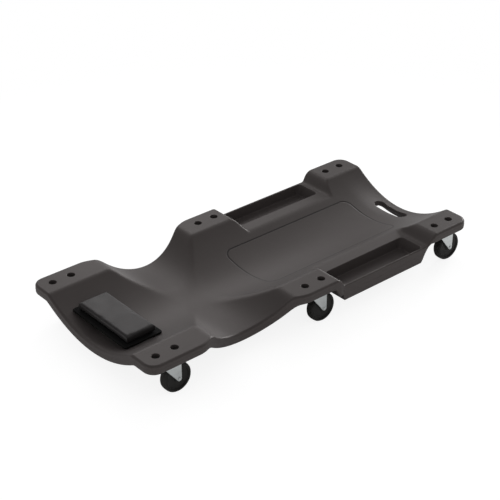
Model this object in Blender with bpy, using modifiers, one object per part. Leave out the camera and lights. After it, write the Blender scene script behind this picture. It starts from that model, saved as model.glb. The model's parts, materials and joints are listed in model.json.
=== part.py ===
"""Mechanic's creeper: a one-piece moulded deck on six swivel plate casters, with a padded headrest.

Metres, +Z up, floor at Z = 0. X runs from the head end to the foot end, +Y is the left side of
someone lying on it, and the origin is on the floor under the middle of the deck.
"""

import math

import bmesh
import bpy
from mathutils import Vector

# Overall
LENGTH = 1.016
WIDTH = 0.472
GAP = 0.0003  # clearance between pieces that seat on each other

# Casters, from the floor up
WHEEL_DIAMETER = 0.075
WHEEL_WIDTH = 0.023
WHEEL_SIDE_GAP = 0.0015
WHEEL_CROWN_GAP = 0.003
FORK_SHEET = 0.0025
RACE_HEIGHT = 0.0057
PLATE_THICKNESS = 0.0025
CASTER_TRAIL = 0.026
FORK_TIP_RADIUS = 0.006
FORK_CROWN_FRONT = 0.019
FORK_LEG_FRONT = 0.011
KINGPIN_DIAMETER = 0.009
KINGPIN_HEAD_DIAMETER = 0.018
RACE_DIAMETER = 0.036
AXLE_DIAMETER = 0.006
AXLE_HEAD_DIAMETER = 0.0096
AXLE_HEAD_HEIGHT = 0.0015
SLEEVE_WALL = 0.0015
BOLT_DIAMETER = 0.006
BOLT_HEX = 0.010
BOLT_HEAD_HEIGHT = 0.004
NUT_HEIGHT = 0.004
BOLT_CLEARANCE = 0.0007  # from a bolt's end down to the turning fork
BOLT_SPACING = 0.052
PLATE_END = 0.012  # from a bolt's axis to the end of the plate
PLATE_WIDTH = 0.042
PLATE_CORNER = 0.006

# Where the casters stand
CASTER_SIDE_INSET = 0.036
HEAD_CASTER_INSET = 0.065
FOOT_CASTER_INSET = 0.067
MID_CASTER_FROM_HEAD = 0.504

# Moulded deck
WALL = 0.025  # thickness of the double-walled moulding
RIM_RADIUS = 0.008
CORNER_RADIUS = 0.030
PAD_MARGIN = 0.017  # flat pad between the caster plate and the pad's inner edge
PAD_CREASE = 0.006
HEAD_TROUGH_DEPTH = 0.050
BACK_TROUGH_DEPTH = 0.056
FOOT_TROUGH_DEPTH = 0.062
FOOT_FALL = 0.090  # length over which the trough falls to the foot end
WELL_DIAMETER = 0.019
WELL_DEPTH = 0.011

# Arm scoops, one round hollow that crosses the deck
ARM_FROM_HEAD = 0.302
ARM_RADIUS = 0.162
ARM_DEPTH = 0.055
ARM_INSET = 0.042
ARM_PLAN_RADIUS = 0.280
ARM_BLEND = 0.012
ARM_RIDGE_SPREAD = 0.6  # how fast the ridge beside the trough softens with the scoop's depth

# Tool trays
MID_PAD_MARGIN = 0.019  # from the middle caster's plate to the end of its pad
FOOT_PAD_MARGIN = 0.022
MID_RAMP_RUN = 0.016
FOOT_RAMP_RUN = 0.020
RAMP_BLEND = 0.005
UNDERSIDE_BLEND = 0.004
TRAY_RIM_DROP = 0.026
TRAY_DEPTH = 0.028
TRAY_FLOOR = 0.014
TRAY_WALL = 0.006
TRAY_RIM_RADIUS = 0.003
TRAY_HEAD_WALL = 0.006
TRAY_FOOT_LEDGE = 0.016
TRAY_WIDTH = 0.0705
TRAY_INSET = 0.004
TRAY_CORNER = 0.010
TRAY_DRAFT = 0.003  # how far the hollow's walls lean in from rim to floor
TRAY_FOOT_DRAFT = 0.010
TRAY_BASE_FROM_PAD = 0.020  # from the middle pad's end to the start of the tray's flat underside
TRAY_FOOT_UNDERCUT = 0.020
MID_ARCH_RUN = 0.036  # wheel clearance rising from the tray's underside to the pad
FOOT_ARCH_RUN = 0.033
FOOT_ARCH_RADIUS = 0.089

# Handle slot at the foot end
SLOT_LENGTH = 0.106
SLOT_WIDTH = 0.031
SLOT_FROM_FOOT = 0.040
SLOT_WALL = 0.009  # the moulding is pinched thin round the slot
SLOT_GRIP = 0.010  # width of the thin border, where fingers close

# Headrest
HEADREST_FROM_HEAD = 0.079
BOARD_LENGTH = 0.210
BOARD_WIDTH = 0.104
BOARD_THICKNESS = 0.005
BOARD_CORNER = 0.004
CUSHION_LENGTH = 0.196
CUSHION_WIDTH = 0.084
CUSHION_HEIGHT = 0.016
CUSHION_TAPER = 0.0015
CUSHION_CROWN = 0.0015
CUSHION_DRAW = 0.0015
HEADREST_SCREW_SPACING = 0.090
SCREW_DIAMETER = 0.005
SCREW_HEAD_DIAMETER = 0.010
SCREW_HEAD_HEIGHT = 0.003
SCREW_HEAD_CHAMFER = 0.001
SCREW_GRIP = 0.004
BOSS_DIAMETER = 0.024
BOSS_COUNTERBORE = 0.010
CUSHION_CREASE = 0.6

# Wheel section
HUB_WALL = 0.004
WHEEL_DISH = 0.002
TREAD_DEPTH = 0.008
TREAD_SHOULDER = 0.002

# Colour, roughness and metallic of each kind of piece
FINISHES = {
    "deck": ((0.085, 0.08, 0.078), 0.5, 0),
    "headrest_board": ((0.008, 0.008, 0.008), 0.6, 0),
    "headrest_cushion": ((0.035, 0.034, 0.034), 0.5, 0),
    "headrest_screw": ((0.72, 0.74, 0.76), 0.35, 1),
    "caster_plate": ((0.70, 0.72, 0.74), 0.4, 1),
    "caster_bolt": ((0.05, 0.05, 0.052), 0.4, 1),
    "kingpin": ((0.66, 0.68, 0.70), 0.35, 1),
    "ball_race": ((0.70, 0.72, 0.74), 0.4, 1),
    "fork": ((0.74, 0.76, 0.78), 0.35, 1),
    "axle_rivet": ((0.68, 0.70, 0.72), 0.3, 1),
    "axle_sleeve": ((0.60, 0.62, 0.64), 0.35, 1),
    "wheel": ((0.015, 0.015, 0.015), 0.55, 0),
}

# Facets of round stretches
WHEEL_STEPS = 20
RING_STEPS = 16
PIN_STEPS = 12
ARCH_STEPS = 4
TIP_STEPS = 8
SLOT_STEPS = 6
RECESS_STEPS = 6
CORNER_STEPS = 3
CUSHION_CUTS = (4, 8, 1)
ALONG_Y = (math.pi / 2, 0, 0)
SHARP = math.radians(35)  # faces that meet at more than this keep a hard edge

# Heights and places that follow from the sizes above
WHEEL_RADIUS = WHEEL_DIAMETER / 2
CROWN_BOTTOM = WHEEL_DIAMETER + WHEEL_CROWN_GAP
CROWN_TOP = CROWN_BOTTOM + FORK_SHEET
PLATE_BOTTOM = CROWN_TOP + RACE_HEIGHT
PLATE_TOP = PLATE_BOTTOM + PLATE_THICKNESS
PAD_BOTTOM = PLATE_TOP + GAP
PAD_TOP = PAD_BOTTOM + WALL
FORK_INNER = WHEEL_WIDTH / 2 + WHEEL_SIDE_GAP
FORK_OUTER = FORK_INNER + FORK_SHEET
HALF_LENGTH = LENGTH / 2
HALF_WIDTH = WIDTH / 2
CASTER_Y = HALF_WIDTH - CASTER_SIDE_INSET
PLATE_INNER_Y = CASTER_Y - PLATE_WIDTH / 2
HALF_PAD_GAP = PLATE_INNER_Y - PAD_MARGIN
CASTER_X = {
    "head": HEAD_CASTER_INSET - HALF_LENGTH,
    "mid": MID_CASTER_FROM_HEAD - HALF_LENGTH,
    "foot": HALF_LENGTH - FOOT_CASTER_INSET,
}
SIDES = {"left": 1, "right": -1}
ARM_X = ARM_FROM_HEAD - HALF_LENGTH
ARM_AXIS_Z = PAD_TOP - ARM_DEPTH + ARM_RADIUS
PLATE_REACH = BOLT_SPACING / 2 + PLATE_END
MID_PAD_END = CASTER_X["mid"] + PLATE_REACH + MID_PAD_MARGIN
TRAY_START = MID_PAD_END + MID_RAMP_RUN
FOOT_PAD_START = CASTER_X["foot"] - PLATE_REACH - FOOT_PAD_MARGIN
TRAY_END = FOOT_PAD_START - FOOT_RAMP_RUN
TRAY_RIM = PAD_TOP - TRAY_RIM_DROP
TRAY_OUTER_Y = HALF_WIDTH - TRAY_INSET
TRAY_FLOOR_Z = TRAY_RIM - TRAY_DEPTH
TRAY_BASE = TRAY_FLOOR_Z - TRAY_FLOOR
TRAY_BASE_END = TRAY_END - TRAY_FOOT_UNDERCUT
TRAY_SPAN = TRAY_WIDTH + 2 * TRAY_WALL
HEADREST_X = HEADREST_FROM_HEAD - HALF_LENGTH
SLOT_X = HALF_LENGTH - SLOT_FROM_FOOT


def soft_min(a, b, blend):
    """The lower of two heights, rounded over where they are less than blend apart."""
    overlap = max(blend - abs(a - b), 0.0)
    return min(a, b) - overlap * overlap / (4 * blend)


def soft_max(a, b, blend):
    return -soft_min(-a, -b, blend)


def ease(t):
    t = min(max(t, 0.0), 1.0)
    return t * t * (3 - 2 * t)


def trough_depth(x):
    """Depth of the body trough on its centre line, below the pads."""
    shoulder = ease((x - ARM_X + ARM_RADIUS / 2) / ARM_RADIUS)
    depth = HEAD_TROUGH_DEPTH + (BACK_TROUGH_DEPTH - HEAD_TROUGH_DEPTH) * shoulder
    fall = ease((x - HALF_LENGTH + FOOT_FALL) / FOOT_FALL)
    return depth + (FOOT_TROUGH_DEPTH - BACK_TROUGH_DEPTH) * fall


def ramp(x, x_low, x_high, drop):
    """A straight ramp between the tray rim and a pad, moved square to itself by drop."""
    slope = TRAY_RIM_DROP / (x_high - x_low)
    return TRAY_RIM + slope * (x - x_low) - drop * math.hypot(1, slope)


def arm_height(x, drop):
    """Height of the round hollow under the arms; beyond its rim it stays above the pads."""
    reach = ARM_RADIUS + drop
    across = min(abs(x - ARM_X), reach)
    return ARM_AXIS_Z - math.sqrt(reach * reach - across * across)


def side_height(x, drop):
    """Height of the deck's flanks: pads, arm scoops, tray rims and the ramps between."""
    blend = UNDERSIDE_BLEND if drop else RAMP_BLEND
    trays = soft_max(TRAY_RIM - drop, ramp(x, TRAY_START, MID_PAD_END, drop), blend)
    trays = soft_max(trays, ramp(x, TRAY_END, FOOT_PAD_START, drop), blend)
    return soft_min(soft_min(PAD_TOP - drop, trays, blend), arm_height(x, drop), ARM_BLEND)


def deck_height(x, y, drop):
    """Height of the moulding's upper skin, or of its underside where drop is the wall."""
    depth = trough_depth(x)
    rise = depth / HALF_PAD_GAP**2
    trough = PAD_TOP - depth + rise * y * y - drop * math.hypot(1, 2 * rise * y)
    if drop:
        blend = UNDERSIDE_BLEND
    else:
        blend = PAD_CREASE + ARM_RIDGE_SPREAD * max(PAD_TOP - arm_height(x, 0), 0.0)
    return soft_min(trough, side_height(x, drop), blend)


def beside_tray(x):
    """1 along a tool tray, easing to 0 at the pads on either side of it."""
    return ease((x - MID_PAD_END) / MID_RAMP_RUN) * ease((FOOT_PAD_START - x) / FOOT_RAMP_RUN)


def half_width(x, inset):
    """Half the deck's width in plan, drawn in by inset all round."""
    width = HALF_WIDTH - TRAY_INSET * beside_tray(x)
    across = abs(x - ARM_X)
    if across < ARM_PLAN_RADIUS:
        flare = ARM_PLAN_RADIUS - math.sqrt(ARM_PLAN_RADIUS**2 - across**2)
        width = soft_min(width, HALF_WIDTH - ARM_INSET + flare, ARM_BLEND)
    width -= inset
    corner = CORNER_RADIUS - inset
    from_end = HALF_LENGTH - inset - abs(x)
    if from_end < corner:
        width -= corner - math.sqrt(max(corner**2 - (corner - from_end) ** 2, 0.0))
    return width


def spread(first, last, count):
    """Count values from first up to, and without, last."""
    return [first + (last - first) * i / count for i in range(count)]


def collection_named(name, parent):
    made = bpy.data.collections.new(name)
    parent.children.link(made)
    return made


def material_named(name, color, roughness, metallic):
    made = bpy.data.materials.new(name)
    made.use_nodes = True
    shader = made.node_tree.nodes["Principled BSDF"]
    shader.inputs["Base Color"].default_value = (*color, 1)
    shader.inputs["Roughness"].default_value = roughness
    shader.inputs["Metallic"].default_value = metallic
    return made


def add_object(name, mesh, collection, material=None, parent=None, location=(0, 0, 0), turn=None):
    made = bpy.data.objects.new(name, mesh)
    collection.objects.link(made)
    made.location = location
    if turn:
        made.rotation_euler = turn
    if parent:
        made.parent = parent
    if material:
        if not mesh.materials:
            mesh.materials.append(material)
    else:
        made.hide_render = True
        made.display_type = "WIRE"
    return made


def add_empty(name, collection, location, parent=None):
    made = bpy.data.objects.new(name, None)
    made.empty_display_size = 0.02
    collection.objects.link(made)
    made.location = location
    made.parent = parent
    return made


def to_mesh(bm, name):
    bmesh.ops.recalc_face_normals(bm, faces=bm.faces)
    mesh = bpy.data.meshes.new(name)
    bm.to_mesh(mesh)
    bm.free()
    mesh.shade_smooth()
    mesh.set_sharp_from_angle(angle=SHARP)
    return mesh


def prism_mesh(name, outline, sweep):
    """A flat outline of 3D points swept along a vector."""
    bm = bmesh.new()
    face = bm.faces.new([bm.verts.new(point) for point in outline])
    swept = bmesh.ops.extrude_face_region(bm, geom=[face])
    moved = [item for item in swept["geom"] if isinstance(item, bmesh.types.BMVert)]
    bmesh.ops.translate(bm, vec=Vector(sweep), verts=moved)
    return to_mesh(bm, name)


def rounded_rectangle(length, width, radius, steps):
    """Corner points of a rounded rectangle about the origin, as X and Y."""
    radius = min(radius, min(length, width) / 2 - GAP)
    points = []
    for quarter in range(4):
        toward_x = 1 if quarter in (0, 3) else -1
        toward_y = 1 if quarter in (0, 1) else -1
        for step in range(steps + 1):
            angle = math.pi / 2 * (quarter + step / steps)
            points.append(
                (
                    toward_x * (length / 2 - radius) + radius * math.cos(angle),
                    toward_y * (width / 2 - radius) + radius * math.sin(angle),
                )
            )
    return points


def turned_mesh(name, profile):
    """A profile of radius and height, run down its outer side, ready for a Screw modifier."""
    mesh = bpy.data.meshes.new(name)
    open_ends = profile[0][0] == 0
    edges = [(i, i + 1) for i in range(len(profile) - 1)]
    if not open_ends:
        edges.append((len(profile) - 1, 0))
    mesh.from_pydata([(radius, 0, height) for radius, height in profile], edges, [])
    return mesh


def add_turned(name, mesh, steps, collection, **places):
    made = add_object(name, mesh, collection, **places)
    screw = made.modifiers.new("Turn", "SCREW")
    screw.axis = "Z"
    screw.steps = steps
    screw.render_steps = steps
    screw.use_merge_vertices = True
    screw.merge_threshold = 0.00001
    screw.use_smooth_shade = True
    return made


def add_boolean(target, operation, tools):
    """Joins or cuts with one object, or with every object of a collection."""
    made = target.modifiers.new(operation.title(), "BOOLEAN")
    made.operation = operation
    made.solver = "EXACT"
    if isinstance(tools, bpy.types.Collection):
        made.operand_type = "COLLECTION"
        made.collection = tools
    else:
        made.object = tools


def bored(target, name, radius, low, high, steps, **places):
    """Cuts a round hole about the Z axis of the place given."""
    profile = [(0, high), (radius, high), (radius, low), (0, low)]
    cutter = add_turned(name, turned_mesh(name, profile), steps, cutters, **places)
    add_boolean(target, "DIFFERENCE", cutter)


def deck_stations():
    """Places along X where the deck's sections stand."""
    end = HALF_LENGTH - RIM_RADIUS
    corner = CORNER_RADIUS - RIM_RADIUS
    arm_half = math.sqrt(ARM_RADIUS**2 - (ARM_RADIUS - ARM_DEPTH) ** 2) + ARM_BLEND
    quarter = [corner * (1 - math.cos(math.pi / 2 * i / 4)) for i in range(4)]
    stations = [-end + step for step in quarter]
    stations += spread(corner - end, ARM_X - arm_half, 4)
    stations += spread(ARM_X - arm_half, ARM_X + arm_half, 14)
    mid_plate = CASTER_X["mid"] - PLATE_REACH - GAP
    foot_plate = CASTER_X["foot"] - PLATE_REACH - GAP
    stations += spread(ARM_X + arm_half, mid_plate, 2)
    stations += spread(mid_plate, CASTER_X["mid"] + PLATE_REACH + GAP, 2)
    stations += [CASTER_X["mid"] + PLATE_REACH + GAP]
    stations += spread(MID_PAD_END, TRAY_START, 3)
    stations += spread(TRAY_START, TRAY_END, 4)
    stations += spread(TRAY_END, FOOT_PAD_START, 3)
    stations += spread(FOOT_PAD_START, foot_plate, 1)
    stations += spread(foot_plate, end - corner, 3)
    stations += [end - corner]
    stations += [end - step for step in reversed(quarter)]
    return stations


def deck_columns(x):
    """Places across Y of one section: through the trough, then over the pad to the rim."""
    board = BOARD_LENGTH / 2
    flat = PLATE_INNER_Y - GAP
    columns = spread(0, board, 4) + spread(board, HALF_PAD_GAP, 3) + [HALF_PAD_GAP]
    columns += spread(flat, half_width(x, RIM_RADIUS), 3) + [half_width(x, RIM_RADIUS)]
    return [-y for y in reversed(columns[1:])] + columns


def deck_mesh():
    """The moulding: a loft of unlike sections, given its wall, with a rolled rim all round."""
    stations = deck_stations()
    sections = [deck_columns(x) for x in stations]
    bm = bmesh.new()
    bmesh.ops.create_grid(
        bm, x_segments=len(sections[0]) - 1, y_segments=len(stations) - 1, size=1
    )
    grid = sorted(bm.verts, key=lambda vert: (round(vert.co.y, 6), vert.co.x))
    for i, x in enumerate(stations):
        for j, y in enumerate(sections[i]):
            grid[i * len(sections[i]) + j].co = (x, y, deck_height(x, y, 0))
    bottom = bmesh.ops.extrude_face_region(bm, geom=list(bm.faces))["geom"]
    for vert in [item for item in bottom if isinstance(item, bmesh.types.BMVert)]:
        vert.co.z = deck_height(vert.co.x, vert.co.y, WALL)
    bmesh.ops.recalc_face_normals(bm, faces=bm.faces)
    roll_rim(bm)
    bmesh.ops.triangulate(bm, faces=list(bm.faces))
    return to_mesh(bm, "deck")


def roll_rim(bm):
    """Pushes the upright wall out into a rounded rim, square to the outline and sharper at a tray."""
    bm.normal_update()
    walls = [edge for edge in bm.edges if is_upright(edge)]
    outward = {}
    for edge in walls:
        upright = [face.normal for face in edge.link_faces if abs(face.normal.z) < 0.5]
        normal = sum(upright, Vector()).normalized()
        outward[plan_key(edge.verts[0])] = normal
    cut = bmesh.ops.subdivide_edges(bm, edges=walls, cuts=4)["geom_inner"]
    rows = {}
    for vert in [item for item in cut if isinstance(item, bmesh.types.BMVert)]:
        rows.setdefault(plan_key(vert), []).append(vert)
    for key, verts in rows.items():
        verts.sort(key=lambda vert: -vert.co.z)
        high = deck_height(verts[0].co.x, verts[0].co.y, 0)
        low = deck_height(verts[0].co.x, verts[0].co.y, WALL)
        radius = RIM_RADIUS + (TRAY_RIM_RADIUS - RIM_RADIUS) * beside_tray(verts[0].co.x)
        eighth = radius * (1 - math.sqrt(0.5))
        heights = [high - eighth, high - radius, low + radius, low + eighth]
        pushes = [RIM_RADIUS - eighth, RIM_RADIUS, RIM_RADIUS, RIM_RADIUS - eighth]
        for vert, z, push in zip(verts, heights, pushes):
            vert.co.z = z
            vert.co += outward[key] * push


def plan_key(vert):
    return round(vert.co.x, 6), round(vert.co.y, 6)


def is_upright(edge):
    a, b = (vert.co for vert in edge.verts)
    return math.hypot(a.x - b.x, a.y - b.y) < GAP / 10 and abs(a.z - b.z) > GAP


def tray_block_mesh():
    """Solid under the right tray: an outline in XZ that slopes up to the middle pad."""
    front = MID_PAD_END + TRAY_BASE_FROM_PAD
    inside = PAD_BOTTOM + UNDERSIDE_BLEND
    slope = MID_ARCH_RUN / (PAD_BOTTOM - TRAY_BASE)
    rear = TRAY_BASE_END + FOOT_ARCH_RUN / 2
    outline = [
        (front, TRAY_BASE),
        (rear, TRAY_BASE),
        (rear, TRAY_RIM - WALL / 2),
        (TRAY_START, TRAY_RIM - WALL / 2),
        (MID_PAD_END, inside),
        (front - slope * (inside - TRAY_BASE), inside),
    ]
    return prism_mesh("tray_block", [(x, GAP - TRAY_OUTER_Y, z) for x, z in outline], (0, TRAY_SPAN, 0))


def foot_arch_mesh():
    """Round clearance for the right foot wheel, between the tray's underside and the pad."""
    start = Vector((TRAY_BASE_END, TRAY_BASE))
    end = Vector((TRAY_BASE_END + FOOT_ARCH_RUN, PAD_BOTTOM - GAP))
    chord = end - start
    middle = (start + end) / 2
    depth = math.sqrt(FOOT_ARCH_RADIUS**2 - chord.length_squared / 4)
    centre = middle + Vector((chord.y, -chord.x)).normalized() * depth
    first = math.atan2(start.y - centre.y, start.x - centre.x)
    last = math.atan2(end.y - centre.y, end.x - centre.x)
    plate = CASTER_X["foot"] - PLATE_REACH - GAP
    below = TRAY_BASE - WALL
    outline = [(plate, end.y), (plate, below), (start.x, below)]
    for step in range(ARCH_STEPS + 1):
        angle = first + (last - first) * step / ARCH_STEPS
        outline.append(
            (centre.x + FOOT_ARCH_RADIUS * math.cos(angle), centre.y + FOOT_ARCH_RADIUS * math.sin(angle))
        )
    outer = -HALF_WIDTH - GAP
    inner = 2 * GAP - TRAY_OUTER_Y + TRAY_SPAN
    return prism_mesh("foot_arch", [(x, outer, z) for x, z in outline], (0, inner - outer, 0))


def tray_pocket_mesh():
    """Hollow of the right tray: rounded corners, leaning walls, open at the top."""
    rim = [TRAY_START + TRAY_HEAD_WALL, TRAY_END - TRAY_FOOT_LEDGE]
    floor = [rim[0] + TRAY_DRAFT, rim[1] - TRAY_FOOT_DRAFT]
    across = TRAY_WALL + TRAY_WIDTH / 2 - TRAY_OUTER_Y
    bm = bmesh.new()
    above = 1 + WALL / TRAY_DEPTH
    for share in (0, above):
        low, high = (a + (b - a) * share for a, b in zip(floor, rim))
        width = TRAY_WIDTH - 2 * TRAY_DRAFT * (1 - share)
        outline = rounded_rectangle(high - low, width, TRAY_CORNER, CORNER_STEPS)
        height = TRAY_FLOOR_Z + TRAY_DEPTH * share
        bm.faces.new([bm.verts.new((x + (low + high) / 2, y + across, height)) for x, y in outline])
    bmesh.ops.bridge_loops(bm, edges=list(bm.edges))
    return to_mesh(bm, "tray_pocket")


def slot_recess_mesh():
    """Hollow under the handle slot that leaves an even wall below the curved trough."""
    half_x = SLOT_WIDTH / 2 + SLOT_GRIP
    half_y = SLOT_LENGTH / 2 + SLOT_GRIP
    bm = bmesh.new()
    bmesh.ops.create_grid(bm, x_segments=2, y_segments=RECESS_STEPS, size=1)
    for vert in bm.verts:
        x, y = SLOT_X + vert.co.x * half_x, vert.co.y * half_y
        vert.co = (x, y, deck_height(x, y, SLOT_WALL))
    swept = bmesh.ops.extrude_face_region(bm, geom=list(bm.faces))["geom"]
    for vert in [item for item in swept if isinstance(item, bmesh.types.BMVert)]:
        vert.co.z = -WALL
    return to_mesh(bm, "slot_recess")


def add_mirrored(name, mesh, collection):
    """A shape on the right side and its mirror image on the left."""
    made = add_object(name, mesh, collection)
    mirror = made.modifiers.new("Both sides", "MIRROR")
    mirror.use_axis = (False, True, False)
    mirror.merge_threshold = 0.00001
    return made


def add_deck():
    deck = add_object("deck", deck_mesh(), creeper, materials["deck"])
    add_boolean(deck, "UNION", add_mirrored("tray_blocks", tray_block_mesh(), cutters))
    add_boolean(deck, "DIFFERENCE", add_mirrored("foot_arches", foot_arch_mesh(), cutters))
    add_boolean(deck, "DIFFERENCE", add_mirrored("tray_pockets", tray_pocket_mesh(), cutters))
    slot = [
        (SLOT_X + y, x, 0)
        for x, y in rounded_rectangle(SLOT_LENGTH, SLOT_WIDTH, SLOT_WIDTH / 2, SLOT_STEPS)
    ]
    add_boolean(deck, "DIFFERENCE", add_object("slot_recess", slot_recess_mesh(), cutters))
    handle = add_object("handle_slot", prism_mesh("handle_slot", slot, (0, 0, PAD_TOP)), cutters)
    add_boolean(deck, "DIFFERENCE", handle)
    wells = collection_named("bolt_wells", cutters)
    hole = BOLT_DIAMETER / 2 + GAP
    floor = PAD_TOP - WELL_DEPTH
    profile = [
        (0, PAD_TOP + WELL_DEPTH),
        (WELL_DIAMETER / 2, PAD_TOP + WELL_DEPTH),
        (WELL_DIAMETER / 2, floor),
        (hole, floor),
        (hole, PLATE_BOTTOM),
        (0, PLATE_BOTTOM),
    ]
    mesh = turned_mesh("bolt_well", profile)
    for row in CASTER_X:
        for side, sign in SIDES.items():
            for end in (-1, 1):
                place = (CASTER_X[row] + end * BOLT_SPACING / 2, sign * CASTER_Y, 0)
                add_turned(f"well_{row}_{side}_{end}", mesh, PIN_STEPS, wells, location=place)
    add_boolean(deck, "DIFFERENCE", wells)
    return deck


def add_headrest(deck):
    """A padded block on a flat board that bridges the head trough and is screwed from below."""
    board_bottom = deck_height(HEADREST_X, BOARD_LENGTH / 2, 0) + GAP
    board_top = board_bottom + BOARD_THICKNESS
    outline = [
        (HEADREST_X + y, x, board_bottom)
        for x, y in rounded_rectangle(BOARD_LENGTH, BOARD_WIDTH, BOARD_CORNER, CORNER_STEPS)
    ]
    board = add_object(
        "headrest_board",
        prism_mesh("headrest_board", outline, (0, 0, BOARD_THICKNESS)),
        creeper,
        materials["headrest_board"],
    )
    cushion = add_object(
        "headrest_cushion",
        cushion_mesh(),
        creeper,
        materials["headrest_cushion"],
        location=(HEADREST_X, 0, board_top + GAP),
    )
    soften = cushion.modifiers.new("Soften", "SUBSURF")
    soften.levels = 1
    soften.render_levels = 1

    underside = deck_height(HEADREST_X, HEADREST_SCREW_SPACING / 2, WALL)
    seat = underside + BOSS_COUNTERBORE
    grip_top = board_bottom + SCREW_GRIP
    bosses = collection_named("headrest_bosses", cutters)
    holes = collection_named("headrest_screw_holes", cutters)
    boss = turned_mesh(
        "headrest_boss",
        [
            (0, board_bottom - GAP),
            (BOSS_DIAMETER / 2, board_bottom - GAP),
            (BOSS_DIAMETER / 2, underside + WALL / 2),
            (0, underside + WALL / 2),
        ],
    )
    head = SCREW_HEAD_DIAMETER / 2
    shank = SCREW_DIAMETER / 2
    hole = turned_mesh(
        "headrest_screw_hole",
        [
            (0, grip_top + GAP),
            (shank + GAP, grip_top + GAP),
            (shank + GAP, seat),
            (head + GAP, seat),
            (head + GAP, underside - WALL),
            (0, underside - WALL),
        ],
    )
    screw = turned_mesh(
        "headrest_screw",
        [
            (0, grip_top),
            (shank, grip_top),
            (shank, seat - GAP),
            (head, seat - GAP),
            (head - SCREW_HEAD_CHAMFER, seat - GAP - SCREW_HEAD_HEIGHT),
            (0, seat - GAP - SCREW_HEAD_HEIGHT),
        ],
    )
    for side, sign in SIDES.items():
        place = (HEADREST_X, sign * HEADREST_SCREW_SPACING / 2, 0)
        add_turned(f"boss_{side}", boss, RING_STEPS, bosses, location=place)
        add_turned(f"screw_hole_{side}", hole, PIN_STEPS, holes, location=place)
        add_turned(
            f"headrest_screw_{side}",
            screw,
            PIN_STEPS,
            creeper,
            material=materials["headrest_screw"],
            location=place,
        )
    add_boolean(deck, "UNION", bosses)
    add_boolean(deck, "DIFFERENCE", holes)
    add_boolean(board, "DIFFERENCE", holes)


def cushion_mesh():
    """Coarse cage of the pad: tapered sides drawn in between the corners, crowned top."""
    bm = bmesh.new()
    bmesh.ops.create_cube(bm, size=1)
    for axis, cuts in enumerate(CUSHION_CUTS):
        run = [e for e in bm.edges if abs((e.verts[0].co - e.verts[1].co)[axis]) > 0.5]
        bmesh.ops.subdivide_edges(bm, edges=run, cuts=cuts, use_grid_fill=True)
    for vert in bm.verts:
        along, across, up = vert.co.x * 2, vert.co.y * 2, vert.co.z + 0.5
        crown = CUSHION_CROWN * (1 - along * along) * (1 - across * across) * up
        taper = CUSHION_TAPER * up
        draw_x = CUSHION_DRAW * (1 - across * across) * up
        draw_y = CUSHION_DRAW * (1 - along * along) * up
        vert.co.x = along * (CUSHION_WIDTH / 2 - taper - draw_x)
        vert.co.y = across * (CUSHION_LENGTH / 2 - taper - draw_y)
        vert.co.z = up * CUSHION_HEIGHT + crown
    crease = bm.edges.layers.float.new("crease_edge")
    for edge in bm.edges:
        if edge.calc_face_angle(0) > SHARP:
            edge[crease] = CUSHION_CREASE
    return to_mesh(bm, "headrest_cushion")


def fork_side():
    """Outline of the fork in XZ: its crown, then a leg that narrows to a round tip."""
    centre = Vector((CASTER_TRAIL, WHEEL_RADIUS))
    shoulder = Vector((-FORK_LEG_FRONT, CROWN_BOTTOM - FORK_SHEET))
    reach = shoulder - centre
    lean = math.acos(FORK_TIP_RADIUS / reach.length)
    start = math.atan2(reach.y, reach.x) + lean
    rear = CASTER_TRAIL + FORK_TIP_RADIUS
    top = CROWN_TOP + FORK_SHEET
    outline = [(rear, top), (-FORK_CROWN_FRONT, top), (-FORK_CROWN_FRONT, CROWN_BOTTOM), tuple(shoulder)]
    for step in range(TIP_STEPS + 1):
        angle = start + (2 * math.pi - start) * step / TIP_STEPS
        outline.append(
            (centre.x + FORK_TIP_RADIUS * math.cos(angle), centre.y + FORK_TIP_RADIUS * math.sin(angle))
        )
    return outline


def fork_mesh():
    """Channel of bent sheet, open below and at both ends, before its sides are trimmed."""
    bend = 2 * FORK_SHEET
    outline = [(FORK_INNER, CROWN_BOTTOM), (FORK_INNER, 0), (FORK_OUTER, 0)]
    for step in range(CORNER_STEPS + 1):
        angle = math.pi / 2 * step / CORNER_STEPS
        outline.append(
            (FORK_OUTER - bend * (1 - math.cos(angle)), CROWN_TOP - bend * (1 - math.sin(angle)))
        )
    outline += [(-y, z) for y, z in reversed(outline)]
    reach = FORK_CROWN_FRONT + CASTER_TRAIL + 2 * FORK_TIP_RADIUS
    return prism_mesh("fork", [(-reach, y, z) for y, z in outline], (2 * reach, 0, 0))


def plate_mesh():
    length = BOLT_SPACING + 2 * PLATE_END
    outline = [
        (x, y, PLATE_BOTTOM)
        for x, y in rounded_rectangle(length, PLATE_WIDTH, PLATE_CORNER, CORNER_STEPS)
    ]
    return prism_mesh("caster_plate", outline, (0, 0, PLATE_THICKNESS))


def hexagon_mesh(name, low, high):
    """A bolt's head or its nut."""
    corner = BOLT_HEX / math.sqrt(3)
    turns = [math.pi / 3 * i for i in range(6)]
    outline = [(corner * math.cos(turn), corner * math.sin(turn), low) for turn in turns]
    return prism_mesh(name, outline, (0, 0, high - low))


def bolt_mesh():
    """Hexagon bolt down through pad and plate, with its nut run up against the plate."""
    seat = PAD_TOP - WELL_DEPTH + GAP
    nut_top = PLATE_BOTTOM - GAP
    top = seat + BOLT_HEAD_HEIGHT / 2
    tip = CROWN_TOP + BOLT_CLEARANCE
    shank = BOLT_DIAMETER / 2
    profile = [(0, top), (shank, top), (shank, tip), (0, tip)]
    body = add_turned("bolt_shank", turned_mesh("bolt_shank", profile), PIN_STEPS, cutters)
    head = hexagon_mesh("bolt_head", seat, seat + BOLT_HEAD_HEIGHT)
    nut = hexagon_mesh("bolt_nut", nut_top - NUT_HEIGHT, nut_top)
    add_boolean(body, "UNION", add_object("bolt_head", head, cutters))
    add_boolean(body, "UNION", add_object("bolt_nut", nut, cutters))
    return settled_mesh(body, "caster_bolt")


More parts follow.
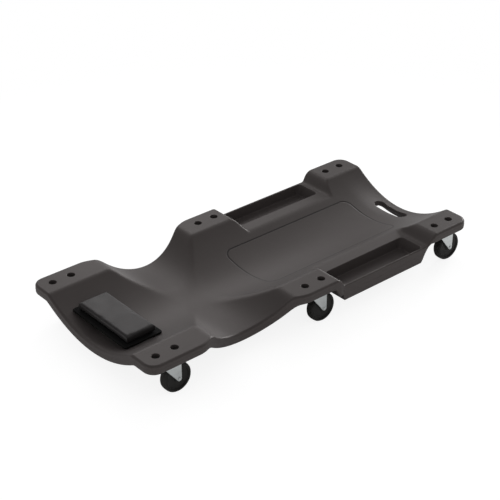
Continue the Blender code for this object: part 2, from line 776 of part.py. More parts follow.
def settled_mesh(source, name):
    """The mesh of an object with its modifiers applied."""
    bpy.context.view_layer.update()
    graph = bpy.context.evaluated_depsgraph_get()
    mesh = bpy.data.meshes.new_from_object(source.evaluated_get(graph))
    mesh.name = name
    return mesh


def caster_meshes():
    """One mesh for each piece of a caster, about its kingpin's axis with the floor at zero."""
    pin = KINGPIN_DIAMETER / 2
    rivet = pin + PLATE_THICKNESS
    meshes = {"bolt": bolt_mesh()}

    plate = add_object("plate_blank", plate_mesh(), cutters)
    sink = [
        (0, PLATE_TOP + GAP),
        (rivet + GAP, PLATE_TOP + GAP),
        (rivet + GAP, PLATE_TOP),
        (pin + GAP, PLATE_BOTTOM),
        (pin + GAP, PLATE_BOTTOM - GAP),
        (0, PLATE_BOTTOM - GAP),
    ]
    countersink = add_turned("plate_sink", turned_mesh("plate_sink", sink), PIN_STEPS, cutters)
    add_boolean(plate, "DIFFERENCE", countersink)
    for end in (-1, 1):
        bored(
            plate,
            "plate_bolt_hole",
            BOLT_DIAMETER / 2 + GAP,
            CROWN_TOP,
            PAD_TOP,
            PIN_STEPS,
            location=(end * BOLT_SPACING / 2, 0, 0),
        )
    meshes["plate"] = settled_mesh(plate, "caster_plate")

    fork = add_object("fork_blank", fork_mesh(), cutters)
    reach = 2 * FORK_OUTER
    side = prism_mesh("fork_side", [(x, -reach, z) for x, z in fork_side()], (0, 2 * reach, 0))
    add_boolean(fork, "INTERSECT", add_object("fork_side", side, cutters))
    bored(fork, "kingpin_hole", pin + GAP, WHEEL_DIAMETER, PLATE_TOP, PIN_STEPS)
    bored(
        fork,
        "axle_hole",
        AXLE_DIAMETER / 2 + GAP,
        -reach,
        reach,
        PIN_STEPS,
        location=(CASTER_TRAIL, 0, WHEEL_RADIUS),
        turn=ALONG_Y,
    )
    meshes["fork"] = settled_mesh(fork, "fork")

    head_low = CROWN_BOTTOM - GAP - FORK_SHEET
    meshes["kingpin"] = turned_mesh(
        "kingpin",
        [
            (0, PLATE_TOP),
            (rivet, PLATE_TOP),
            (pin, PLATE_BOTTOM),
            (pin, CROWN_BOTTOM - GAP),
            (KINGPIN_HEAD_DIAMETER / 2, CROWN_BOTTOM - GAP),
            ((KINGPIN_HEAD_DIAMETER - FORK_SHEET) / 2, head_low),
            (0, head_low),
        ],
    )
    race = RACE_DIAMETER / 2
    low, high = CROWN_TOP + GAP, PLATE_BOTTOM - GAP
    third = (high - low) / 3
    meshes["ball_race"] = turned_mesh(
        "ball_race",
        [
            (pin + GAP, high),
            (race, high),
            (race, high - third),
            (race - third, low + third),
            (race - third, low),
            (pin + GAP, low),
        ],
    )
    axle = AXLE_DIAMETER / 2
    seat = FORK_OUTER + GAP
    end = seat + AXLE_HEAD_HEIGHT
    half_rivet = [(0, end), (axle, end), (AXLE_HEAD_DIAMETER / 2, seat), (axle, seat)]
    meshes["axle_rivet"] = turned_mesh(
        "axle_rivet", half_rivet + [(radius, -height) for radius, height in reversed(half_rivet)]
    )
    sleeve = axle + GAP + SLEEVE_WALL
    length = FORK_INNER - GAP
    meshes["axle_sleeve"] = turned_mesh(
        "axle_sleeve",
        [(axle + GAP, length), (sleeve, length), (sleeve, -length), (axle + GAP, -length)],
    )
    meshes["wheel"] = wheel_mesh(sleeve + GAP)
    return meshes


def wheel_mesh(bore):
    """Wheel with a rounded tread, dished faces and a hub as wide as the tread."""
    half = WHEEL_WIDTH / 2
    tread = WHEEL_RADIUS
    upper = [
        (bore, half),
        (bore + HUB_WALL, half),
        (bore + HUB_WALL + WHEEL_DISH, half - WHEEL_DISH),
        (tread - TREAD_DEPTH - WHEEL_DISH, half - WHEEL_DISH),
        (tread - TREAD_DEPTH, half),
        (tread - TREAD_SHOULDER, half),
        (tread, half - 2 * TREAD_SHOULDER),
    ]
    return turned_mesh("wheel", upper + [(radius, -height) for radius, height in reversed(upper)])


def add_caster(row, side, meshes):
    at = f"{row}_{side}"
    place = (CASTER_X[row], SIDES[side] * CASTER_Y, 0)
    fixed = add_empty(f"caster_{at}", creeper, place)
    swivel = add_empty(f"swivel_{at}", creeper, place)
    axle = (CASTER_TRAIL, 0, WHEEL_RADIUS)
    add_object(f"caster_plate_{at}", meshes["plate"], creeper, materials["caster_plate"], fixed)
    for number, end in enumerate((-1, 1), start=1):
        add_object(
            f"caster_bolt_{at}_{number}",
            meshes["bolt"],
            creeper,
            materials["caster_bolt"],
            fixed,
            location=(end * BOLT_SPACING / 2, 0, 0),
        )
    for piece, steps in (("kingpin", PIN_STEPS), ("ball_race", RING_STEPS)):
        add_turned(
            f"{piece}_{at}", meshes[piece], steps, creeper, material=materials[piece], parent=fixed
        )
    add_object(f"fork_{at}", meshes["fork"], creeper, materials["fork"], swivel)
    for piece, steps in (("axle_rivet", PIN_STEPS), ("axle_sleeve", PIN_STEPS), ("wheel", WHEEL_STEPS)):
        add_turned(
            f"{piece}_{at}",
            meshes[piece],
            steps,
            creeper,
            material=materials[piece],
            parent=swivel,
            location=axle,
            turn=ALONG_Y,
        )


scene_root = bpy.context.scene.collection
for leftover in list(bpy.data.objects):
    bpy.data.objects.remove(leftover)
creeper = collection_named("mechanic_creeper", scene_root)
cutters = collection_named("cutters", scene_root)
materials = {piece: material_named(piece, *finish) for piece, finish in FINISHES.items()}
deck = add_deck()
add_headrest(deck)
caster_pieces = caster_meshes()
for row in CASTER_X:
    for side in SIDES:
        add_caster(row, side, caster_pieces)
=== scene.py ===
import json
import math

import bmesh
import bpy
import numpy as np
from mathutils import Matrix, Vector


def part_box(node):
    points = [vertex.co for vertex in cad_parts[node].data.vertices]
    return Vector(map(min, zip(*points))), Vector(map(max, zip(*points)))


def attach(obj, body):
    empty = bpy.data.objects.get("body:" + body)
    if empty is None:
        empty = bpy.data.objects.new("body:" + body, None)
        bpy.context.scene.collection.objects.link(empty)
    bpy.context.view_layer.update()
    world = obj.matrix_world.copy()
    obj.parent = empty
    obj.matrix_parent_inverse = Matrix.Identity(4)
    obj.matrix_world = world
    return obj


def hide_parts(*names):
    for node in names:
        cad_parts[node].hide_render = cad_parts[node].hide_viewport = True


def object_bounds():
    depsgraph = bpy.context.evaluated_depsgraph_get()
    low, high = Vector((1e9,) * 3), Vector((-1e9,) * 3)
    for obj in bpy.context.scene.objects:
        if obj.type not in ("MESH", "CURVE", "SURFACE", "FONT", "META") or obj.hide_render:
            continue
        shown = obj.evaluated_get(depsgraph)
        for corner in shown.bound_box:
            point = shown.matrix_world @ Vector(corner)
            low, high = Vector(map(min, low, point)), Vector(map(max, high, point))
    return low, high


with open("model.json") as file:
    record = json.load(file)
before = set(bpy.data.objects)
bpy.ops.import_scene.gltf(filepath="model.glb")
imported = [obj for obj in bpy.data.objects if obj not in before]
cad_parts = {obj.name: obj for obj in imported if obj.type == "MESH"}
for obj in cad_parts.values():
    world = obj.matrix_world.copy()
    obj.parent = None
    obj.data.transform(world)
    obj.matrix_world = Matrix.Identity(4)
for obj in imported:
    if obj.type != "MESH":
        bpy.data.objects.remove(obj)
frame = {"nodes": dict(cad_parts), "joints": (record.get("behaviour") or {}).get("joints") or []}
cadLow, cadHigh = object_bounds()
places = {joint["name"]: joint["pos_m"] for joint in frame["joints"]}
stands = [name[len("swivel_"):] for name in places if name.startswith("swivel_")]
scene = bpy.context.scene
print("frame loaded:", len(frame["nodes"]), "nodes,", len(stands), "casters")


# Shader nodes written as sums

class Tap:  # one output socket of a finish
    def __init__(self, finish, socket):
        self.finish = finish
        self.socket = socket

    def maths(self, operation, first, second):
        return self.finish.node("ShaderNodeMath", {"operation": operation}, {0: first, 1: second})

    def __add__(self, other):
        return self.maths("ADD", self, other)

    def __radd__(self, other):
        return self.maths("ADD", other, self)

    def __sub__(self, other):
        return self.maths("SUBTRACT", self, other)

    def __rsub__(self, other):
        return self.maths("SUBTRACT", other, self)

    def __mul__(self, other):
        return self.maths("MULTIPLY", self, other)

    def __abs__(self):
        return self.maths("ABSOLUTE", self, 0)


class Finish:  # a node tree that grows one node at a time
    def __init__(self, tree):
        self.tree = tree
        tree.nodes.clear()

    def node(self, kind, settings=None, sockets=None, out=0):
        made = self.tree.nodes.new(kind)
        for name, value in (settings or {}).items():
            setattr(made, name, value)
        for name, value in (sockets or {}).items():
            if isinstance(value, Tap):
                self.tree.links.new(value.socket, made.inputs[name])
            else:
                made.inputs[name].default_value = value
        return Tap(self, made.outputs[out]) if len(made.outputs) else None

    def axis(self, where, number):
        return self.node("ShaderNodeSeparateXYZ", {}, {0: where}, number)

    def length(self, where):
        return self.node("ShaderNodeVectorMath", {"operation": "LENGTH"}, {0: where}, "Value")

    def ray(self, kind):
        return self.node("ShaderNodeLightPath", out=f"Is {kind} Ray")

    def noise(self, where, scale, detail=2.0, roughness=0.5):
        sockets = {"Vector": where, "Scale": scale, "Detail": detail, "Roughness": roughness}
        return self.node("ShaderNodeTexNoise", {}, sockets, "Fac")

    def streaks(self, where, scale, detail=3.0):
        stretched = self.node("ShaderNodeMapping", {}, {"Vector": where, "Scale": scale})
        return self.noise(stretched, 1.0, detail)

    def between(self, value, low, high):
        sockets = {"Value": value, "From Min": low, "From Max": high}
        return self.node("ShaderNodeMapRange", {"interpolation_type": "SMOOTHSTEP"}, sockets)

    def tint(self, amount, first, second):
        shades = [shade if isinstance(shade, Tap) else (*shade, 1) for shade in (first, second)]
        return self.node("ShaderNodeMix", {"data_type": "RGBA"}, {0: amount, 6: shades[0], 7: shades[1]}, 2)

    def bump(self, height, strength, distance, under=None):
        sockets = {"Height": height, "Strength": strength, "Distance": distance}
        if under:
            sockets["Normal"] = under
        return self.node("ShaderNodeBump", {}, sockets)


def newFinish(name, steady, paint):
    # steady holds what is the same all over, paint returns what varies
    material = bpy.data.materials.new(name)
    material.use_nodes = True
    finish = Finish(material.node_tree)
    varied = paint(finish, finish.node("ShaderNodeTexCoord", out="Object"))
    shader = finish.node("ShaderNodeBsdfPrincipled", {}, {**steady, **varied})
    finish.node("ShaderNodeOutputMaterial", {}, {"Surface": shader})
    return material


# Finishes

plasticLook = {
    "dark": (0.043, 0.0370, 0.0356),
    "light": (0.056, 0.0485, 0.0467),
    "scuff": (0.080, 0.075, 0.072),
    # painted shade: the near-black colour laid into the groove round the back panel
    "lineMark": (0.003, 0.003, 0.003),
    "grooveShadeHalf": (0.0008, 0.0024),
    "rough": 0.41,
    "cloud": 6.0,
    "flow": (3, 26, 26),
    "grain": 900.0,
    "pores": 260.0,
    "scratch": (18, 260, 260),
    "scratchRange": (0.63, 0.72),
    "padHeight": (0.105, 0.115),
}
backPanel = {"x": (-0.034, 0.393), "halfY": 0.0945, "corner": 0.024, "depth": 0.0005, "width": 0.0018}


def panelGrooveShade(finish, where):
    # where painted shade darkens the groove round the back panel: 1 in the groove, 0 elsewhere and on the
    # underside
    first, last = backPanel["x"]
    corner = backPanel["corner"]
    along = abs(finish.axis(where, 0) - (first + last) / 2) - ((last - first) / 2 - corner)
    across = abs(finish.axis(where, 1)) - (backPanel["halfY"] - corner)
    outside = [side.maths("MAXIMUM", side, 0) for side in (along, across)]
    beyond = finish.length(finish.node("ShaderNodeCombineXYZ", {}, dict(enumerate(outside))))
    inside = along.maths("MINIMUM", along.maths("MAXIMUM", along, across), 0)
    groove = 1 - finish.between(abs(beyond + inside - corner), *plasticLook["grooveShadeHalf"])
    facing = finish.axis(finish.node("ShaderNodeTexCoord", out="Normal"), 2)
    return finish.between(facing, 0, 0.3) * groove


def paintPlastic(finish, where):
    cloud = finish.noise(where, plasticLook["cloud"], 5.0, 0.6)
    flow = finish.streaks(where, plasticLook["flow"])
    grain = finish.noise(where, plasticLook["grain"])
    pores = finish.noise(where, plasticLook["pores"], 3.0)
    scratches = finish.between(finish.streaks(where, plasticLook["scratch"]), *plasticLook["scratchRange"])
    raised = finish.between(finish.axis(where, 2), *plasticLook["padHeight"])
    scuffs = scratches * (0.15 + raised * 0.5)
    shade = finish.tint(cloud * 0.6 + flow * 0.4, plasticLook["dark"], plasticLook["light"])
    shade = finish.tint(scuffs * 0.35, shade, plasticLook["scuff"])
    return {
        # painted shade: the groove round the back panel darkened in the base colour
        "Base Color": finish.tint(panelGrooveShade(finish, where), shade, plasticLook["lineMark"]),
        "Roughness": plasticLook["rough"] + cloud * 0.10 + grain * 0.06 + scuffs * 0.12,
        "Normal": finish.bump(pores, 0.10, 0.0004, finish.bump(grain, 0.22, 0.00015)),
    }


vinylLook = {
    "dark": (0.010, 0.0096, 0.0096),
    "light": (0.018, 0.0174, 0.0174),
    "rough": 0.36,
    "cells": 620.0,
    "cloud": 24.0,
    "creases": 170.0,
}


def paintVinyl(finish, where):
    cells = finish.node("ShaderNodeTexVoronoi", {}, {"Vector": where, "Scale": vinylLook["cells"]})
    cloud = finish.noise(where, vinylLook["cloud"], 4.0)
    creases = finish.noise(where, vinylLook["creases"], 3.0)
    return {
        "Base Color": finish.tint(cloud * 0.7 + cells * 0.3, vinylLook["dark"], vinylLook["light"]),
        "Roughness": vinylLook["rough"] + cloud * 0.16,
        "Normal": finish.bump(creases, 0.12, 0.0006, finish.bump(cells, 0.25, 0.0002)),
    }


boardLook = {
    "dark": (0.004, 0.004, 0.004),
    "light": (0.009, 0.009, 0.009),
    "rough": 0.5,
    "fibres": (420, 60, 420),
    "cloud": 30.0,
}


def paintBoard(finish, where):
    fibres = finish.streaks(where, boardLook["fibres"], 4.0)
    cloud = finish.noise(where, boardLook["cloud"], 3.0)
    return {
        "Base Color": finish.tint(fibres * 0.5 + cloud * 0.5, boardLook["dark"], boardLook["light"]),
        "Roughness": boardLook["rough"] + fibres * 0.2,
        "Normal": finish.bump(fibres, 0.2, 0.0003),
    }


zincLook = {
    "dark": (0.68, 0.71, 0.71),
    "light": (0.88, 0.91, 0.91),
    "spot": (0.42, 0.43, 0.44),
    "rough": 0.28,
    "rolled": (900, 900, 70),
    "cloud": 70.0,
    "spots": 240.0,
    "spotRange": (0.62, 0.74),
}


def paintZinc(finish, where):
    rolled = finish.streaks(where, zincLook["rolled"])
    cloud = finish.noise(where, zincLook["cloud"], 4.0, 0.6)
    spots = finish.between(finish.noise(where, zincLook["spots"]), *zincLook["spotRange"])
    shade = finish.tint(cloud * 0.7 + rolled * 0.3, zincLook["dark"], zincLook["light"])
    return {
        "Base Color": finish.tint(spots * 0.3, shade, zincLook["spot"]),
        "Roughness": zincLook["rough"] + cloud * 0.14 + rolled * 0.08,
        "Normal": finish.bump(rolled, 0.10, 0.0002),
    }


boltLook = {
    "dark": (0.020, 0.020, 0.021),
    "light": (0.075, 0.074, 0.074),
    "rough": 0.34,
    "cloud": 150.0,
    "wear": 420.0,
    "wearRange": (0.56, 0.70),
}


def paintBolt(finish, where):
    cloud = finish.noise(where, boltLook["cloud"], 4.0, 0.6)
    worn = finish.between(finish.noise(where, boltLook["wear"], 3.0), *boltLook["wearRange"])
    return {
        "Base Color": finish.tint(cloud * 0.6 + worn * 0.4, boltLook["dark"], boltLook["light"]),
        "Roughness": boltLook["rough"] + cloud * 0.2,
        "Normal": finish.bump(cloud, 0.15, 0.0003),
    }


wheelForm = {
    "radius": 0.0375,
    "half": 0.0115,
    "bore": 0.0051,
    "hub": 0.0093,
    "web": 0.0095,
    "recess": 0.0035,
    "shoulder": 0.0035,
}
wheelLook = {
    "dark": (0.009, 0.0084, 0.0076),
    "light": (0.019, 0.0176, 0.0160),
    "dust": (0.044, 0.041, 0.037),
    "rough": 0.48,
    "treadEdge": (0.0015, 0.0003),
    "cloud": 110.0,
    "grit": 620.0,
    "gritRange": (0.45, 0.75),
    "rings": 9000.0,
}


def paintWheel(finish, where):
    radius = finish.length(finish.node("ShaderNodeMapping", {}, {"Vector": where, "Scale": (1, 0, 1)}))
    tread = finish.between(radius, *(wheelForm["radius"] - edge for edge in wheelLook["treadEdge"]))
    cloud = finish.noise(where, wheelLook["cloud"], 4.0, 0.6)
    grit = finish.between(finish.noise(where, wheelLook["grit"], 3.0), *wheelLook["gritRange"])
    rings = finish.node("ShaderNodeMath", {"operation": "SINE"}, {0: radius * wheelLook["rings"]})
    shade = finish.tint(cloud, wheelLook["dark"], wheelLook["light"])
    return {
        "Base Color": finish.tint(tread * (0.20 + grit * 0.35), shade, wheelLook["dust"]),
        "Roughness": wheelLook["rough"] + cloud * 0.14 + tread * 0.14,
        "Normal": finish.bump(rings, 0.05, 0.00015, finish.bump(grit, 0.15, 0.0003)),
    }


finishes = {
    "deck": newFinish(
        "mouldedPlastic", {"Specular IOR Level": 0.5, "Specular Tint": (1, 0.89, 0.87, 1)}, paintPlastic
    ),
    "headrest_cushion": newFinish(
        "blackVinyl", {"Specular IOR Level": 0.46, "Specular Tint": (1, 0.92, 0.92, 1)}, paintVinyl
    ),
    "headrest_board": newFinish("blackBoard", {"Specular IOR Level": 0.05}, paintBoard),
    "zinc": newFinish("zincPlate", {"Metallic": 1.0}, paintZinc),
    "caster_bolt": newFinish("darkBolt", {"Metallic": 0.8}, paintBolt),
    "wheel": newFinish("blackWheel", {"Specular IOR Level": 0.4}, paintWheel),
}
print("finishes made:", len(finishes))


# Mesh helpers

sharpAngle = 34


def smoothed(mesh, angle=sharpAngle):
    mesh.polygons.foreach_set("use_smooth", [True] * len(mesh.polygons))
    mesh.set_sharp_from_angle(angle=math.radians(angle))
    return mesh


def fromBmesh(bm, name, angle=sharpAngle):
    bmesh.ops.recalc_face_normals(bm, faces=bm.faces)
    mesh = bpy.data.meshes.new(name)
    bm.to_mesh(mesh)
    bm.free()
    return smoothed(mesh, angle)


def linked(name, mesh):
    made = bpy.data.objects.new(name, mesh)
    scene.collection.objects.link(made)
    return made


def settled(made, name, angle=sharpAngle):
    # the object with its modifiers applied, as a new mesh, and the object gone
    bpy.context.view_layer.update()
    mesh = bpy.data.meshes.new_from_object(made.evaluated_get(bpy.context.evaluated_depsgraph_get()))
    mesh.name = name
    bpy.data.objects.remove(made)
    return smoothed(mesh, angle)


def cut(made, operation, mesh):
    tool = linked("cuttingTool", mesh)
    step = made.modifiers.new(operation, "BOOLEAN")
    step.operation = operation
    step.solver = "EXACT"
    step.object = tool
    name = made.name
    mesh = settled(made, name)
    bpy.data.objects.remove(tool)
    return linked(name, mesh)


def bevelled(made, width, segments=2):
    step = made.modifiers.new("softEdges", "BEVEL")
    step.width = width
    step.segments = segments
    step.limit_method = "ANGLE"
    step.angle_limit = math.radians(40)
    return made


def turned(name, profile, steps=48, ring=False):
    # spins a profile of (radius, height) about Z
    bm = bmesh.new()
    verts = [bm.verts.new((radius, 0, height)) for radius, height in profile]
    edges = [bm.edges.new(pair) for pair in zip(verts, verts[1:])]
    if ring:
        edges.append(bm.edges.new((verts[-1], verts[0])))
    bmesh.ops.spin(
        bm, geom=verts + edges, cent=(0, 0, 0), axis=(0, 0, 1), angle=math.tau, steps=steps, use_merge=True
    )
    bmesh.ops.remove_doubles(bm, verts=bm.verts, dist=1e-6)
    return fromBmesh(bm, name)


def filleted(points, steps=5):
    # rounds the corners of an open line of (a, b, radius)
    line = [points[0][:2]]
    for before, here, after in zip(points, points[1:], points[2:]):
        corner = Vector(here[:2])
        back = Vector(before[:2]) - corner
        ahead = Vector(after[:2]) - corner
        if len(here) < 3:
            line.append(tuple(corner))
            continue
        half = back.angle(ahead) / 2
        run = min(here[2] / math.tan(half), back.length * 0.49, ahead.length * 0.49)
        radius = run * math.tan(half)
        middle = corner + (back.normalized() + ahead.normalized()).normalized() * (radius / math.sin(half))
        first = corner + back.normalized() * run - middle
        last = corner + ahead.normalized() * run - middle
        for step in range(steps + 1):
            line.append(tuple(middle + first.slerp(last, step / steps) * first.length))
    line.append(points[-1][:2])
    return line


def lofted(name, rows, angle=sharpAngle):
    # skins rows of points with the same count, and caps both ends
    bm = bmesh.new()
    loops = [[bm.verts.new(point) for point in row] for row in rows]
    for lower, upper in zip(loops, loops[1:]):
        for i in range(len(lower)):
            bm.faces.new((lower[i - 1], lower[i], upper[i], upper[i - 1]))
    bm.faces.new(loops[0])
    bm.faces.new(loops[-1])
    return fromBmesh(bm, name, angle)


def roundedOutline(halfX, halfY, radius, steps=8):
    points = []
    for quarter, (signX, signY) in enumerate(((1, 1), (-1, 1), (-1, -1), (1, -1))):
        x, y = signX * (halfX - radius), signY * (halfY - radius)
        for step in range(steps + 1):
            turn = math.pi / 2 * (quarter + step / steps)
            points.append((x + radius * math.cos(turn), y + radius * math.sin(turn)))
    return points


def roundOutline(radius, steps=32):
    turns = [math.tau * i / steps for i in range(steps)]
    return [(radius * math.cos(turn), radius * math.sin(turn)) for turn in turns]


def joined(name, meshes):
    bm = bmesh.new()
    for mesh in meshes:
        bm.from_mesh(mesh)
    return fromBmesh(bm, name)


def addPiece(name, mesh, finish, body, nodes=(), at=(0, 0, 0)):
    piece = linked(name, mesh)
    piece.location = at
    mesh.materials.clear()
    mesh.materials.append(finish)
    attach(piece, body)
    if nodes:
        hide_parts(*nodes)
    return piece


# Deck

deckForm = {
    "wall": 0.025,
    "rim": 0.006,
    "corner": 0.030,
    "crease": 0.0035,
    "underBlend": 0.004,
    "padInner": 0.162,
    "troughHead": 0.050,
    "troughBack": 0.056,
    "troughFoot": 0.062,
    "footFall": 0.090,
    "partingRidge": 0.0004,
    "partingHalf": 0.0009,
}
deckGrid = {
    "coarse": 0.005,
    "panel": 0.0011,
    "panelMargin": (0.004, 0.003),
    "arch": 0.002,
    "archMargin": (0.002, 0.001),
    "slot": 0.0025,
    "slotMargin": 0.030,
    "tray": 0.0012,
    "edgeShares": ((0, 0.025), (0.30, 0.07), (1, 0)),
    "cornerSteps": 10,
    "rollStart": 4,
    "rollSteps": 7,
    "footSteps": 6,
}
armScoop = {
    "x": -0.206,
    "radius": 0.162,
    "depth": 0.053,
    "inset": 0.042,
    "planRadius": 0.280,
    "blend": 0.012,
    "ridgeSpread": 0.04,
}
toolTray = {
    "midPadEnd": 0.053,
    "start": 0.069,
    "end": 0.361,
    "footPadStart": 0.381,
    "rampBlend": 0.005,
    "crestBlend": 0.014,
    "rim": 0.088,
    "rimRadius": 0.003,
    "rimSide": 0.2,
    "sharpRim": (0.041, 0.363),
    "sharpRun": (0.030, 0.020),
    "inset": 0.004,
    "inner": 0.1500,
    "floor": 0.060,
    "base": 0.046,
    "baseStart": 0.073,
    "baseEnd": 0.341,
    "hollowX": ((0.075, 0.345), (0.078, 0.335)),
    "hollowY": ((0.1555, 0.226), (0.1585, 0.223)),
    "hollowCorner": 0.010,
    "boxed": (0.021, 0.396),
    "midArchRun": 0.036,
    "midArchRadius": 0.065,
    "footArchRun": 0.033,
    "footArchRadius": 0.089,
    "lip": 0.0015,
    "lipTurn": 75,
    "floorFillet": 0.003,
    "steps": 6,
}
handleSlot = {
    "x": 0.468,
    "halfLength": 0.053,
    "halfWidth": 0.0155,
    "wall": 0.013,
    "grip": 0.010,
    "gripEdge": 0.004,
    "lip": 0.003,
    "lipTurn": 70,
    "steps": 6,
    "overrun": 0.02,
    "flare": 0.006,
}
boltWell = {
    "radius": 0.0095,
    "depth": 0.011,
    "spacing": 0.052,
    "hole": 0.0033,
    "holeRun": 0.02,
    "floorFillet": 0.0015,
    "lip": 0.0012,
    "lipTurn": 1.2,
    "overrun": 0.012,
}
headrestForm = {
    "x": -0.429,
    "screwY": 0.045,
    "counterbore": ((0.0075, -0.012), (0.0058, 0.0005), (0.0053, 0.0015), (0.0053, 0.010)),
    "boss": 0.012,
    "bossTaper": 0.0004,
    "bossFoot": 0.004,
    "bossSink": 0.003,
    "gap": 0.0003,
}

halfLength = (cadHigh.x - cadLow.x) / 2
halfWidth = (cadHigh.y - cadLow.y) / 2
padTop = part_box("deck")[1].z
padBottom = padTop - deckForm["wall"]


def softMin(a, b, blend):
    overlap = np.maximum(blend - np.abs(a - b), 0)
    return np.minimum(a, b) - overlap**2 / (4 * blend)


def softMax(a, b, blend):
    return -softMin(-a, -b, blend)


def eased(t):
    t = np.clip(t, 0, 1)
    return t * t * (3 - 2 * t)


def troughDepth(x):
    shoulder = eased((x - armScoop["x"] + armScoop["radius"] / 2) / armScoop["radius"])
    fall = eased((x - halfLength + deckForm["footFall"]) / deckForm["footFall"])
    depth = deckForm["troughHead"] + (deckForm["troughBack"] - deckForm["troughHead"]) * shoulder
    return depth + (deckForm["troughFoot"] - deckForm["troughBack"]) * fall


def ramp(x, low, high, drop):
    slope = (padTop - toolTray["rim"]) / (high - low)
    return toolTray["rim"] + slope * (x - low) - drop * math.hypot(1, slope)


def scoopHeight(x, drop):
    reach = armScoop["radius"] + drop
    across = np.minimum(np.abs(x - armScoop["x"]), reach)
    return padTop - armScoop["depth"] + armScoop["radius"] - np.sqrt(reach**2 - across**2)


def sideHeight(x, drop):
    blend = deckForm["underBlend"] if drop else toolTray["rampBlend"]
    trays = softMax(toolTray["rim"] - drop, ramp(x, toolTray["start"], toolTray["midPadEnd"], drop), blend)
    trays = softMax(trays, ramp(x, toolTray["end"], toolTray["footPadStart"], drop), blend)
    crest = deckForm["underBlend"] if drop else toolTray["crestBlend"]
    return softMin(softMin(padTop - drop, trays, crest), scoopHeight(x, drop), armScoop["blend"])


def troughHeight(x, y, drop):
    depth = troughDepth(x)
    rise = depth / deckForm["padInner"] ** 2
    return padTop - depth + rise * y * y - drop * np.hypot(1, 2 * rise * y)


def awayFrom(x, y, middle, halfX, halfY, corner):
    # distance outside a rounded rectangle on the centre line, less than zero inside it
    along = np.abs(x - middle) - halfX + corner
    across = np.abs(y) - halfY + corner
    beyond = np.hypot(np.maximum(along, 0), np.maximum(across, 0))
    return beyond + np.minimum(np.maximum(along, across), 0) - corner


def topHeight(x, y):
    blend = deckForm["crease"] + armScoop["ridgeSpread"] * np.maximum(padTop - scoopHeight(x, 0), 0)
    height = softMin(troughHeight(x, y, 0), sideHeight(x, 0), blend)
    first, last = backPanel["x"]
    away = awayFrom(x, y, (first + last) / 2, (last - first) / 2, backPanel["halfY"], backPanel["corner"])
    return height - backPanel["depth"] * np.exp(-((away / backPanel["width"]) ** 2))


def arch(x, foot, run, radius):
    # round arch from the tray's base at foot up to the pads' underside
    rise = padBottom - toolTray["base"]
    span = math.hypot(run, rise)
    lean = math.sqrt(radius**2 - span**2 / 4) / span
    across = foot + run / 2 + rise * lean * math.copysign(1, run)
    inArc = np.clip(radius**2 - (x - across) ** 2, 0, None)
    return toolTray["base"] + rise / 2 - abs(run) * lean + np.sqrt(inArc)


def trayUnder(x):
    start, end = toolTray["baseStart"], toolTray["baseEnd"]
    midRun, footRun = toolTray["midArchRun"], toolTray["footArchRun"]
    mid = arch(x, start, -midRun, toolTray["midArchRadius"])
    foot = arch(x, end, footRun, toolTray["footArchRadius"])
    under = np.where(x < start, mid, np.where(x > end, foot, toolTray["base"]))
    return np.where((x < start - midRun) | (x > end + footRun), padBottom, under)


def underHeight(x, y):
    wall, grip = deckForm["wall"], handleSlot["grip"]
    trough = troughHeight(x, y, wall)
    plain = softMin(trough, sideHeight(x, wall), deckForm["underBlend"])
    tray = trayUnder(x)
    boxed = np.where(x < toolTray["baseEnd"], np.minimum(plain, tray), np.minimum(tray, trough))
    first, last = toolTray["boxed"]
    inTray = (np.abs(y) > toolTray["inner"]) & (x > first) & (x < last)
    under = np.where(inTray, boxed, plain)
    reach = handleSlot["halfWidth"] + grip, handleSlot["halfLength"] + grip
    away = awayFrom(x, y, handleSlot["x"], *reach, grip)
    thin = topHeight(x, y) - handleSlot["wall"]
    return under + (thin - under) * eased(0.5 - away / handleSlot["gripEdge"])


def besideTray(x):
    fromMid = eased((x - toolTray["midPadEnd"]) / (toolTray["start"] - toolTray["midPadEnd"]))
    return fromMid * eased((toolTray["footPadStart"] - x) / (toolTray["footPadStart"] - toolTray["end"]))


def planHalf(x, inset):
    width = halfWidth - toolTray["inset"] * besideTray(x)
    across = np.abs(x - armScoop["x"])
    inside = np.sqrt(np.maximum(armScoop["planRadius"] ** 2 - across**2, 0))
    waist = halfWidth - armScoop["inset"] + armScoop["planRadius"] - inside
    width = np.where(across < armScoop["planRadius"], softMin(width, waist, armScoop["blend"]), width) - inset
    corner = deckForm["corner"] - inset
    fromEnd = np.clip(halfLength - inset - np.abs(x), 0, corner)
    return width - corner + np.sqrt(np.maximum(corner**2 - (corner - fromEnd) ** 2, 0))


def spaced(*stops):
    # stops are (place, step from there on)
    line = []
    for (place, step), (after, _) in zip(stops, stops[1:]):
        count = max(round((after - place) / step), 1)
        line += list(np.linspace(place, after, count, endpoint=False))
    return line + [stops[-1][0]]


